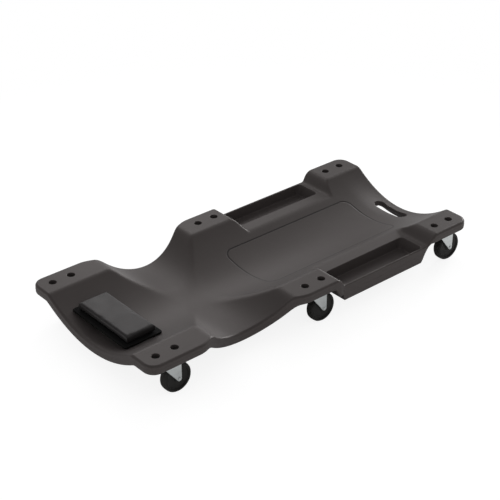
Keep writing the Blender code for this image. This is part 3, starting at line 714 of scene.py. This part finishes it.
def deckPlan():
    # the grid of x and y that the top and the underside share
    rim = deckForm["rim"]
    end = halfLength - rim
    corner = deckForm["corner"] - rim
    steps = deckGrid["cornerSteps"]
    quarter = [corner * (1 - math.cos(math.pi / 2 * i / steps)) for i in range(steps)]
    first, last = backPanel["x"]
    halfPanel, panelCorner = backPanel["halfY"], backPanel["corner"]
    coarse, fine, tray = (deckGrid[name] for name in ("coarse", "panel", "tray"))
    marginX, marginY = deckGrid["panelMargin"]
    beforeArch, afterArch = deckGrid["archMargin"]
    middle = spaced(
        (corner - end, coarse),
        (first - marginX, fine),
        (first + panelCorner, coarse),
        (toolTray["baseStart"] - toolTray["midArchRun"] - beforeArch, deckGrid["arch"]),
        (toolTray["baseStart"] + afterArch, coarse),
        (last - panelCorner, fine),
        (last + marginX, coarse),
        (handleSlot["x"] - deckGrid["slotMargin"], deckGrid["slot"]),
        (end - corner, 0),
    )
    xs = np.array([q - end for q in quarter] + middle + [end - q for q in reversed(quarter)])
    inner = spaced(
        (0, coarse),
        (halfPanel - panelCorner, fine),
        (halfPanel + marginY, coarse),
        (toolTray["inner"] - tray, tray),
        (toolTray["inner"] + tray, 0),
    )
    inner = np.array(inner)
    shares = np.array(spaced(*deckGrid["edgeShares"])[1:])
    outer = inner[-1] + (planHalf(xs, rim)[:, None] - inner[-1]) * shares[None, :]
    half = np.concatenate((np.repeat(inner[None, :], len(xs), 0), outer), 1)
    ys = np.concatenate((-half[:, :0:-1], half), 1)
    return np.repeat(xs[:, None], ys.shape[1], 1), ys


def rimLoops(line, low):
    # how far out and how high each loop of the rim is, from the top's border down to the underside's
    rim = deckForm["rim"]
    x, high = line[:, 0], line[:, 2]
    start, finish = toolTray["sharpRim"]
    startRun, finishRun = toolTray["sharpRun"]
    onSide = np.abs(line[:, 1]) > toolTray["rimSide"]
    sharper = toolTray["rimRadius"] - rim
    foot = rim + sharper * (eased((x - start) / startRun) * eased((finish - x) / finishRun)) * onSide
    roll = rim + sharper * besideTray(x) * onSide
    loops = []
    for turn in np.linspace(math.radians(deckGrid["rollStart"]), math.pi / 2, deckGrid["rollSteps"]):
        loops.append((rim - roll * (1 - math.sin(turn)), high - roll * (1 - math.cos(turn))))
    lineMark = (high - roll + low + foot) / 2
    half = deckForm["partingHalf"]
    for lift, proud in ((half, 0), (0, deckForm["partingRidge"]), (-half, 0)):
        loops.append((np.full(len(line), rim + proud), lineMark + lift))
    for turn in np.linspace(0, math.pi / 2, deckGrid["footSteps"]):
        loops.append((rim - foot * (1 - math.cos(turn)), low + foot * (1 - math.sin(turn))))
    return loops


def deckMesh():
    gridX, ys = deckPlan()
    skin = np.stack((gridX, ys, topHeight(gridX, ys)), -1).reshape(-1, 3)
    belly = np.stack((gridX, ys, underHeight(gridX, ys)), -1).reshape(-1, 3)
    index = np.arange(ys.size).reshape(ys.shape)
    border = np.concatenate((index[0, :-1], index[:-1, -1], index[-1, :0:-1], index[:0:-1, 0]))
    line = skin[border]
    run = np.roll(line, -1, 0)[:, :2] - line[:, :2]
    run /= np.linalg.norm(run, axis=1)[:, None]
    bend = run + np.roll(run, 1, 0)
    outward = np.stack((-bend[:, 1], bend[:, 0]), 1) / np.linalg.norm(bend, axis=1)[:, None]
    loops = [border]
    points = [skin, belly]
    start = 2 * len(skin)
    for push, height in rimLoops(line, belly[border][:, 2]):
        points.append(np.concatenate((line[:, :2] + outward * push[:, None], height[:, None]), 1))
        loops.append(np.arange(start, start + len(line)))
        start += len(line)
    loops.append(border + len(skin))
    quads = np.stack((index[:-1, :-1], index[1:, :-1], index[1:, 1:], index[:-1, 1:]), -1).reshape(-1, 4)
    faces = [quads, quads[:, ::-1] + len(skin)]
    for above, below in zip(loops, loops[1:]):
        faces.append(np.stack((above, np.roll(above, -1), np.roll(below, -1), below), -1))
    mesh = bpy.data.meshes.new("deckBlank")
    mesh.from_pydata(np.concatenate(points).tolist(), [], np.concatenate(faces).tolist())
    return mesh


def trayCutter(side):
    (rimX, floorX), (rimY, floorY) = toolTray["hollowX"], toolTray["hollowY"]
    names = ("floorFillet", "lip", "rim", "floor", "hollowCorner", "steps")
    fillet, lip, rim, floor, corner, steps = (toolTray[name] for name in names)
    rows = []

    def row(height, grow):
        share = min(max((height - floor) / (rim - floor), 0), 1)
        x = [a + (b - a) * share for a, b in zip(floorX, rimX)]
        y = [a + (b - a) * share for a, b in zip(floorY, rimY)]
        outline = roundedOutline((x[1] - x[0]) / 2 + grow, (y[1] - y[0]) / 2 + grow, corner + grow)
        centre = ((x[0] + x[1]) / 2, side * (y[0] + y[1]) / 2)
        rows.append([(px + centre[0], py + centre[1], height) for px, py in outline])

    for turn in np.linspace(0, math.pi / 2, steps):
        row(floor + fillet * (1 - math.cos(turn)), -fillet * (1 - math.sin(turn)))
    for turn in np.linspace(0, math.radians(toolTray["lipTurn"]), steps):
        row(rim - lip * (1 - math.sin(turn)), lip * (1 - math.cos(turn)))
    row(padTop, lip * 4)
    return lofted("trayCutter", rows)


def slotCutter():
    rows = []
    middle, lip, overrun = (handleSlot[name] for name in ("x", "lip", "overrun"))

    def row(surface, height, grow):
        halfX, halfY = handleSlot["halfWidth"] + grow, handleSlot["halfLength"] + grow
        outline = roundedOutline(halfX, halfY, halfX - 0.0001)
        rows.append([(middle + x, y, float(surface(middle + x, y)) + height) for x, y in outline])

    turns = np.linspace(0, math.radians(handleSlot["lipTurn"]), handleSlot["steps"])
    rounding = [(lip * math.sin(turn), lip * (1 - math.cos(turn))) for turn in turns]
    flare = rounding[-1][1] + handleSlot["flare"]
    row(underHeight, -overrun, flare)
    for rise, grow in reversed(rounding):
        row(underHeight, lip - rise, grow)
    for rise, grow in rounding:
        row(topHeight, rise - lip, grow)
    row(topHeight, overrun, flare)
    return lofted("slotCutter", rows)


def roundCutter(name, x, y, line, steps):
    # skins circles about (x, y), one for each (radius, height) of the line
    rows = [[(x + px, y + py, height) for px, py in roundOutline(radius, steps)] for radius, height in line]
    return lofted(name, rows)


def wellCutter(x, y):
    radius, hole, lip = (boltWell[name] for name in ("radius", "hole", "lip"))
    floor = padTop - boltWell["depth"]
    line = [(hole, floor - boltWell["holeRun"]), (hole, floor)]
    line += filleted([(hole, floor), (radius, floor, boltWell["floorFillet"]), (radius, padTop - lip)])[1:]
    for turn in np.linspace(0, boltWell["lipTurn"], 5)[1:]:
        line.append((radius + lip * (1 - math.cos(turn)), padTop - lip * (1 - math.sin(turn))))
    line.append((radius + lip * 3, padTop + boltWell["overrun"]))
    return roundCutter("wellCutter", x, y, line, 36)


def counterbore(x, y):
    under = float(underHeight(np.array(x), np.array(y)))
    line = [(radius, under + rise) for radius, rise in headrestForm["counterbore"]]
    return roundCutter("counterbore", x, y, line, 28)


def bossMesh(name, x, y):
    # stands on the trough and carries the headrest board
    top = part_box("headrest_board")[0].z - headrestForm["gap"]
    seat = float(topHeight(np.array(x), np.array(y)))
    radius, sunk = headrestForm["boss"], seat - headrestForm["bossSink"]
    profile = filleted(
        [
            (0, top),
            (radius - headrestForm["bossTaper"], top, 0.001),
            (radius, seat + 0.002, 0.003),
            (radius + headrestForm["bossFoot"], sunk),
        ]
    )
    return turned(name, profile + [(0, sunk)])


def buildDeck():
    tools = [trayCutter(1), trayCutter(-1), slotCutter()]
    for stand in stands:
        x, y, _ = places[f"swivel_{stand}"]
        for end in (-1, 1):
            tools.append(wellCutter(x + end * boltWell["spacing"] / 2, y))
    for side in (-1, 1):
        tools.append(counterbore(headrestForm["x"], side * headrestForm["screwY"]))
    blank = linked("deckBody", deckMesh())
    shaped = cut(blank, "DIFFERENCE", joined("deckTools", tools))
    mesh = shaped.data
    bpy.data.objects.remove(shaped)
    deck = addPiece("deckBody", smoothed(mesh, 38), finishes["deck"], "deck", ["deck"])
    even = deck.modifiers.new("evenNormals", "WEIGHTED_NORMAL")
    even.keep_sharp = True
    for side, label in ((1, "left"), (-1, "right")):
        x, y = headrestForm["x"], side * headrestForm["screwY"]
        name = f"headrestBoss_{label}"
        addPiece(name, bossMesh(name, x, y), finishes["deck"], "deck", at=(x, y, 0))
    print("deck made:", len(mesh.polygons), "faces")


buildDeck()


# Headrest

cushionForm = {
    "voxel": 0.003,
    "corner": 0.003,
    "shrink": 0.0012,
    "swell": 0.0016,
    "lift": 0.0002,
    "frames": 20,
    "quality": 6,
    "pressure": 4.0,
    "tension": 20,
    "bending": 2,
}
boardForm = {"corner": 0.006, "edge": ((0.0009, 0), (0.0003, 0.0003), (0, 0.0009))}
screwForm = {
    "shank": 0.0025,
    "head": 0.003,
    "dome": 0.0016,
    "socket": ((0.0021, 0), (0.0016, 0.0014), (0, 0.0016)),
}


def roundedBlock(name, low, high, radius):
    bm = bmesh.new()
    bmesh.ops.create_cube(bm, size=1)
    centre = (low + high) / 2
    for vert in bm.verts:
        vert.co = [centre[i] + vert.co[i] * (high[i] - low[i]) for i in range(3)]
    bmesh.ops.bevel(bm, geom=list(bm.edges), offset=radius, segments=3, profile=0.5, affect="EDGES")
    return linked(name, fromBmesh(bm, name))


def swollen(block, lowest):
    # foam under its cover: the block is remeshed, blown up as cloth, and held to a small swell
    block.data.remesh_voxel_size = cushionForm["voxel"]
    bpy.context.view_layer.objects.active = block
    block.select_set(True)
    bpy.ops.object.voxel_remesh()
    start = np.array([vert.co for vert in block.data.vertices])
    cloth = block.modifiers.new("cover", "CLOTH")
    cloth.settings.quality = cushionForm["quality"]
    cloth.settings.use_pressure = True
    cloth.settings.uniform_pressure_force = cushionForm["pressure"]
    cloth.settings.effector_weights.gravity = 0
    cloth.settings.tension_stiffness = cushionForm["tension"]
    cloth.settings.bending_stiffness = cushionForm["bending"]
    cloth.point_cache.frame_end = cushionForm["frames"]
    for number in range(1, cushionForm["frames"] + 1):
        scene.frame_set(number)
    graph = bpy.context.evaluated_depsgraph_get()
    moved = np.array([vert.co for vert in block.evaluated_get(graph).data.vertices])
    block.modifiers.remove(cloth)
    scene.frame_set(1)
    shift = moved - start
    far = np.linalg.norm(shift, axis=1)
    shift *= np.minimum(1, cushionForm["swell"] / np.maximum(far, 1e-9))[:, None]
    placed = start + shift
    placed[:, 2] = np.maximum(placed[:, 2], lowest)
    block.data.vertices.foreach_set("co", placed.ravel())


def buildCushion():
    low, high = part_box("headrest_cushion")
    inset = Vector((cushionForm["shrink"],) * 3)
    block = roundedBlock("headrestPad", low + inset, high - inset, cushionForm["corner"])
    swollen(block, low.z + cushionForm["lift"])
    soft = block.modifiers.new("soft", "SUBSURF")
    soft.levels = soft.render_levels = 1
    mesh = settled(block, "headrestPad", 180)
    node = "headrest_cushion"
    pad = addPiece("headrestPad", mesh, finishes[node], "deck", [node])


def buildBoard():
    low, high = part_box("headrest_board")
    centre = (low + high) / 2
    halfX, halfY = (high.x - low.x) / 2, (high.y - low.y) / 2
    outline = roundedOutline(halfX, halfY, boardForm["corner"])
    levels = [(inset, low.z + rise) for inset, rise in boardForm["edge"]]
    levels += [(inset, high.z - rise) for inset, rise in reversed(boardForm["edge"])]
    rows = []
    for inset, height in levels:
        shareX, shareY = 1 - inset / halfX, 1 - inset / halfY
        rows.append([(centre.x + x * shareX, centre.y + y * shareY, height) for x, y in outline])
    node = "headrest_board"
    addPiece("headrestBoard", lofted("headrestBoard", rows, 50), finishes[node], "deck", [node])


def buildScrew(name, node):
    low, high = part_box(node)
    centre = (low + high) / 2
    radius = (high.x - low.x) / 2
    shank, head = screwForm["shank"], low.z + screwForm["head"]
    profile = [
        (0, high.z),
        (shank, high.z, 0.0005),
        (shank, head),
        (radius, head, 0.0003),
        (radius, low.z + screwForm["dome"], 0.0008),
        (radius * 0.72, low.z, 0.002),
    ]
    profile += [(reach, low.z + rise) for reach, rise in screwForm["socket"]]
    screw = turned(name, filleted(profile))
    addPiece(name, screw, finishes["zinc"], "deck", [node], (centre.x, centre.y, 0))


def buildHeadrest():
    buildCushion()
    buildBoard()
    for label in ("left", "right"):
        buildScrew(f"headrestScrew_{label}", f"headrest_screw_{label}")
    print("headrest made")


buildHeadrest()


# Casters, each about its kingpin's axis with the floor at zero

casterForm = {
    "trail": 0.026,
    "inner": 0.013,
    "sheet": 0.0025,
    "crownLow": 0.078,
    "tip": 0.006,
    "crownFront": 0.019,
    "legFront": 0.011,
    "edge": 0.0005,
    "gap": 0.0003,
    "pin": 0.0045,
    "pinHead": 0.009,
    "pinDome": 0.0025,
    "race": 0.018,
    "ball": 0.0014,
    "ballInset": 0.0030,
    "balls": 22,
    "plate": (0.038, 0.021, 0.006),
    "plateLow": 0.0862,
    "plateHigh": 0.0887,
    "plateEdge": 0.0006,
    "sink": 0.0028,
    "axle": 0.003,
    "axleHead": 0.0048,
    "axleDome": 0.0015,
    "cutterHalf": (0.06, 0.03, 0.01),
}
boltForm = {
    "head": 0.004,
    "hex": 0.010,
    "chamfer": 0.0012,
    "shank": 0.003,
    "tip": 0.0007,
    "washer": (0.0034, 0.0072),
    "washerHeight": (-0.0002, 0.0007),
}


def prism(name, outline, sweep):
    bm = bmesh.new()
    face = bm.faces.new([bm.verts.new(point) for point in outline])
    made = bmesh.ops.extrude_face_region(bm, geom=[face])["geom"]
    bmesh.ops.translate(bm, vec=sweep, verts=[item for item in made if isinstance(item, bmesh.types.BMVert)])
    return fromBmesh(bm, name)


def arc(centre, radius, first, last, steps):
    turns = [math.radians(first + (last - first) * i / steps) for i in range(steps + 1)]
    return [(centre[0] + radius * math.cos(turn), centre[1] + radius * math.sin(turn)) for turn in turns]


def rod(radius, low, high, sideways=False, at=(0, 0, 0)):
    # a cutting tool along Z, or along Y if sideways
    mesh = turned("rod", [(0, low), (radius, low), (radius, high), (0, high)], 32)
    for vert in mesh.vertices:
        x, y, z = vert.co
        vert.co = Vector((x, z, y) if sideways else (x, y, z)) + Vector(at)
    return mesh


def forkMesh():
    form = casterForm
    gap, sheet = form["gap"], form["sheet"]
    halfX, halfY, overZ = form["cutterHalf"]
    inner, outer = form["inner"], form["inner"] + sheet
    low, high = form["crownLow"], form["crownLow"] + sheet
    bend = 2 * sheet
    outerSide = [(outer, 0)] + arc((outer - bend, high - bend), bend, 0, 90, 8)
    innerSide = [(inner, 0)] + arc((inner - bend / 2, low - bend / 2), bend / 2, 0, 90, 8)
    section = outerSide + [(-y, z) for y, z in reversed(outerSide)]
    section += [(-y, z) for y, z in innerSide] + list(reversed(innerSide))
    blank = prism("forkBlank", [(-halfX, y, z) for y, z in section], (2 * halfX, 0, 0))
    centre = Vector((form["trail"], wheelForm["radius"]))
    shoulder = Vector((-form["legFront"], low - sheet))
    reach = shoulder - centre
    lean = math.acos(form["tip"] / reach.length)
    start = math.degrees(math.atan2(reach.y, reach.x) + lean)
    rear = form["trail"] + form["tip"]
    front = -form["crownFront"]
    side = [(rear, high + 0.002), (front, high + 0.002), (front, low), tuple(shoulder)]
    side += arc(centre, form["tip"], start, 360, 18)
    silhouette = prism("forkSide", [(x, -halfY, z) for x, z in side], (0, 2 * halfY, 0))
    axle = (form["trail"], 0, wheelForm["radius"])
    fork = cut(linked("forkBlank", blank), "INTERSECT", silhouette)
    fork = cut(fork, "DIFFERENCE", rod(form["pin"] + gap, low - overZ, high + overZ))
    fork = cut(fork, "DIFFERENCE", rod(form["axle"] + gap, -halfY, halfY, True, axle))
    return settled(bevelled(fork, form["edge"]), "casterFork", 40)


def plateMesh():
    form = casterForm
    halfX, halfY, corner = form["plate"]
    low, high, edge = form["plateLow"], form["plateHigh"], form["plateEdge"]
    rows = []
    for grow, height in ((-edge, low), (0, low + edge), (0, high - edge), (-edge, high)):
        rows.append([(x, y, height) for x, y in roundedOutline(halfX + grow, halfY + grow, corner + grow)])
    plate = linked("plateBlank", lofted("plateBlank", rows))
    tools = []
    for end in (-1, 1):
        at = (end * boltWell["spacing"] / 2, 0, 0)
        tools.append(rod(boltWell["hole"], low - 0.005, high + 0.005, at=at))
    bore, sink = form["pin"] + form["gap"], form["pin"] + form["sink"]
    below, above = low - 0.003, high + 0.003
    profile = [(0, below), (bore, below), (bore, low), (sink, high), (sink, above), (0, above)]
    tools.append(turned("sink", profile, 32))
    plate = cut(plate, "DIFFERENCE", joined("plateHoles", tools))
    return settled(plate, "casterPlate")


def raceMesh():
    form = casterForm
    gap, race = form["gap"], form["race"]
    low = form["crownLow"] + form["sheet"] + gap
    high = form["plateLow"] - gap
    pin = form["pin"] + gap
    middle = (low + high) / 2
    profile = filleted(
        [
            (pin, high),
            (race, high, 0.0004),
            (race, middle + 0.0012, 0.0006),
            (race - 0.0034, middle + 0.0008, 0.0005),
            (race - 0.0034, middle - 0.0008, 0.0005),
            (race - 0.0014, middle - 0.0012, 0.0006),
            (race - 0.0014, low, 0.0004),
            (pin, low),
        ]
    )
    bm = bmesh.new()
    bm.from_mesh(turned("raceRing", profile, 56, True))
    for x, y in roundOutline(race - form["ballInset"], form["balls"]):
        ball = bmesh.ops.create_icosphere(bm, subdivisions=2, radius=form["ball"])["verts"]
        bmesh.ops.translate(bm, vec=Vector((x, y, middle)), verts=ball)
    return fromBmesh(bm, "ballRace")


def kingpinMesh():
    form = casterForm
    pin, head = form["pin"], form["pinHead"]
    low, high = form["crownLow"] - form["gap"], form["plateHigh"]
    end = low - form["pinDome"]
    profile = filleted(
        [
            (0, high),
            (pin + 0.0025, high, 0.0003),
            (pin, form["plateLow"], 0.0003),
            (pin, low, 0.0002),
            (head, low, 0.0003),
            (head - 0.0004, low - 0.0012, 0.0008),
            (head * 0.45, end, 0.004),
            (0, end),
        ]
    )
    return turned("kingpin", profile, 40)


def hexMesh(low, high):
    # a hexagon with its corners turned off at both ends
    flat, corner = boltForm["hex"] / 2, boltForm["hex"] / math.sqrt(3)
    chamfer = boltForm["chamfer"]
    outline = [(x, y, low) for x, y in roundOutline(corner, 6)]
    blank = linked("hexBlank", prism("hexBlank", outline, (0, 0, high - low)))
    dome = [
        (0, low - 0.0001),
        (flat - 0.0002, low - 0.0001),
        (corner + 0.0003, low + chamfer),
        (corner + 0.0003, high - chamfer),
        (flat - 0.0002, high + 0.0001),
        (0, high + 0.0001),
    ]
    bm = bmesh.new()
    bm.from_mesh(settled(cut(blank, "INTERSECT", turned("hexChamfer", dome, 36)), "hexHead"))
    bmesh.ops.dissolve_degenerate(bm, dist=2e-5, edges=bm.edges)
    return fromBmesh(bm, "hexHead")


def boltMesh():
    seat = padTop - boltWell["depth"] + casterForm["gap"]
    nutTop = casterForm["plateLow"] - casterForm["gap"]
    tip = casterForm["crownLow"] + casterForm["sheet"] + boltForm["tip"]
    meshes = [hexMesh(seat, seat + boltForm["head"]), hexMesh(nutTop - boltForm["head"], nutTop)]
    shank = boltForm["shank"]
    line = filleted([(0, seat + 0.002), (shank, seat + 0.002), (shank, tip, 0.0006), (0, tip)])
    meshes.append(turned("boltShank", line, 28))
    bore, reach = boltForm["washer"]
    low, high = (seat + rise for rise in boltForm["washerHeight"])
    line = filleted([(bore, high), (reach, high, 0.0003), (reach, low), (bore, low)])
    meshes.append(turned("boltWasher", line, 32, True))
    return joined("casterBolt", meshes)


def alongY(mesh):
    for vert in mesh.vertices:
        x, y, z = vert.co
        vert.co = (x, z, -y)
    return mesh


def wheelMesh():
    form = wheelForm
    half, tread = form["half"], form["radius"]
    web = half - form["recess"]
    side = filleted(
        [
            (form["bore"], 0),
            (form["bore"], half, 0.0004),
            (form["hub"], half, 0.0008),
            (form["hub"] + 0.0012, web, 0.0012),
            (tread - form["web"], web, 0.0012),
            (tread - form["web"] + 0.0016, half - 0.0004, 0.0008),
            (tread - 0.0058, half - 0.0002, 0.0002),
            (tread - 0.0056, half - 0.0009, 0.0002),
            (tread - 0.0051, half - 0.0009, 0.0002),
            (tread - 0.0049, half - 0.0001, 0.0002),
            (tread - form["shoulder"], half, 0.0012),
            (tread - 0.0006, half - form["shoulder"], 0.0030),
            (tread, 0.0025, 0.004),
            (tread, 0),
        ],
        4,
    )
    profile = side + [(radius, -height) for radius, height in reversed(side[1:-1])]
    return alongY(turned("casterWheel", profile, 72, True))


def rivetMesh():
    form = casterForm
    seat = form["inner"] + form["sheet"] + form["gap"]
    end = seat + form["axleDome"]
    half = filleted(
        [
            (0, end - 0.0005),
            (0.0012, end - 0.0004, 0.0006),
            (0.0022, end, 0.0008),
            (form["axleHead"] - 0.0008, end - 0.0004, 0.0012),
            (form["axleHead"], seat, 0.0003),
            (form["axle"], seat),
        ]
    )
    return alongY(turned("axleRivet", half + [(radius, -height) for radius, height in reversed(half)], 36))


def buildCasters():
    meshes = {
        "fork": forkMesh(),
        "caster_plate": plateMesh(),
        "ball_race": raceMesh(),
        "kingpin": kingpinMesh(),
        "caster_bolt": boltMesh(),
        "wheel": wheelMesh(),
        "axle_rivet": rivetMesh(),
    }
    zinc = finishes["zinc"]
    for stand in stands:
        x, y, _ = places[f"swivel_{stand}"]
        pin, axle = (x, y, 0), places[f"roll_{stand}"]
        rows = [(kind, f"{kind}_{stand}", "deck", pin) for kind in ("caster_plate", "ball_race", "kingpin")]
        for number, end in ((1, -1), (2, 1)):
            spot = (x + end * boltWell["spacing"] / 2, y, 0)
            rows.append(("caster_bolt", f"caster_bolt_{stand}_{number}", "deck", spot))
        rows.append(("fork", f"fork_{stand}", f"fork_{stand}", pin))
        rows.append(("axle_rivet", f"axle_rivet_{stand}", f"fork_{stand}", axle))
        rows.append(("wheel", f"wheel_{stand}", f"wheel_{stand}", axle))
        for kind, node, body, at in rows:
            addPiece(f"{node}_looks", meshes[kind], finishes.get(kind, zinc), body, [node], at)
        sleeve = frame["nodes"][f"axle_sleeve_{stand}"].data.materials
        sleeve.clear()
        sleeve.append(zinc)
    print("casters made:", len(stands))


buildCasters()


# Studio

studio = {
    "floorHalf": 6.0,
    "speck": 300.0,
    "pale": ((0.80, 0.80, 0.80), (0.82, 0.82, 0.82)),
    "floorShade": (0.24, 0.24, 0.24, 1),
    "glow": 0.86,
    "fade": (0.75, 1.5),
    "ambient": 0.80,
    "aim": (0, 0, 0.05),
    "key": {"at": (9.0, 3.2, 2.5), "size": 3.4, "power": 340},
    "fill": {"at": (1.0, 2.0, 1.45), "size": 1.4, "power": 8},
}
mirror = {
    "front": 0.25,
    "frontRange": (-0.7, 0.2),
    "headEnd": 0.35,
    "headRange": (-0.7, 0.1),
    "horizon": 0.64,
    "zenith": 0.16,
    "upRange": (0.35, 0.95),
}
camera = {
    "target": (0.0381, 0.0766, 0.0631),
    "azimuth": -40.7,
    "elevation": 30.31,
    "distance": 3.373,
    "lens": 96.1,
    "sensor": 36,
}


def seenRay(finish, far):
    # rays that see the floor as a white backdrop: the eye everywhere, reflections only far off
    return finish.ray("Camera") + finish.ray("Transmission") + finish.ray("Glossy") * far


def buildFloor():
    bm = bmesh.new()
    bmesh.ops.create_grid(bm, x_segments=2, y_segments=2, size=studio["floorHalf"])
    floor = linked("studioFloor", fromBmesh(bm, "studioFloor"))
    material = bpy.data.materials.new("paleFloor")
    material.use_nodes = True
    finish = Finish(material.node_tree)
    where = finish.node("ShaderNodeTexCoord", out="Object")
    far = finish.between(finish.length(where), *studio["fade"])
    shade = finish.tint(finish.noise(where, studio["speck"]), *studio["pale"])
    plain = finish.node("ShaderNodeBsdfDiffuse", {}, {"Color": shade})
    matt = finish.node("ShaderNodeBsdfDiffuse", {}, {"Color": studio["floorShade"]})
    glow = finish.node("ShaderNodeEmission", {}, {"Strength": studio["glow"]})
    white = finish.node("ShaderNodeEmission", {}, {"Strength": 1.0})
    near = finish.node("ShaderNodeAddShader", {}, {0: matt, 1: glow})
    shown = finish.node("ShaderNodeMixShader", {}, {0: far, 1: near, 2: white})
    surface = finish.node("ShaderNodeMixShader", {}, {0: seenRay(finish, far), 1: plain, 2: shown})
    finish.node("ShaderNodeOutputMaterial", {}, {"Surface": surface})
    floor.data.materials.append(material)


def buildWorld():
    # white to the eye, and in reflections a room that is dimmer in front, at the head end and overhead
    world = bpy.data.worlds.new("whiteStudio")
    world.use_nodes = True
    scene.world = world
    finish = Finish(world.node_tree)
    way = finish.node("ShaderNodeTexCoord", out="Generated")
    across = finish.between(finish.axis(way, 0), *mirror["headRange"])
    behind = finish.between(finish.axis(way, 1), *mirror["frontRange"])
    upward = finish.between(finish.axis(way, 2), *mirror["upRange"])
    reflected = mirror["horizon"] + upward * (mirror["zenith"] - mirror["horizon"])
    reflected = reflected * (mirror["front"] + behind * (1 - mirror["front"]))
    reflected = reflected * (mirror["headEnd"] + across * (1 - mirror["headEnd"]))
    seen, glossy = finish.ray("Camera") + finish.ray("Transmission"), finish.ray("Glossy")
    strength = seen + glossy * reflected + (1 - seen - glossy) * studio["ambient"]
    light = finish.node("ShaderNodeBackground", {}, {"Strength": strength})
    finish.node("ShaderNodeOutputWorld", {}, {"Surface": light})


def addLamp(name, form):
    data = bpy.data.lights.new(name, "AREA")
    data.shape = "DISK"
    data.size = form["size"]
    data.energy = form["power"]
    lamp = linked(name, data)
    lamp.location = form["at"]
    lamp.rotation_euler = (Vector(studio["aim"]) - lamp.location).to_track_quat("-Z", "Y").to_euler()


def addCamera():
    data = bpy.data.cameras.new("photoCamera")
    data.lens = camera["lens"]
    data.sensor_width = camera["sensor"]
    made = linked("photoCamera", data)
    turn, rise = math.radians(camera["azimuth"]), math.radians(camera["elevation"])
    back = Vector((math.sin(turn) * math.cos(rise), -math.cos(turn) * math.cos(rise), math.sin(rise)))
    made.location = Vector(camera["target"]) + back * camera["distance"]
    made.rotation_euler = (-back).to_track_quat("-Z", "Y").to_euler()
    scene.camera = made


buildFloor()
buildWorld()
addLamp("keyLamp", studio["key"])
addLamp("fillLamp", studio["fill"])
addCamera()
scene.view_settings.view_transform = "Standard"
print("studio made")
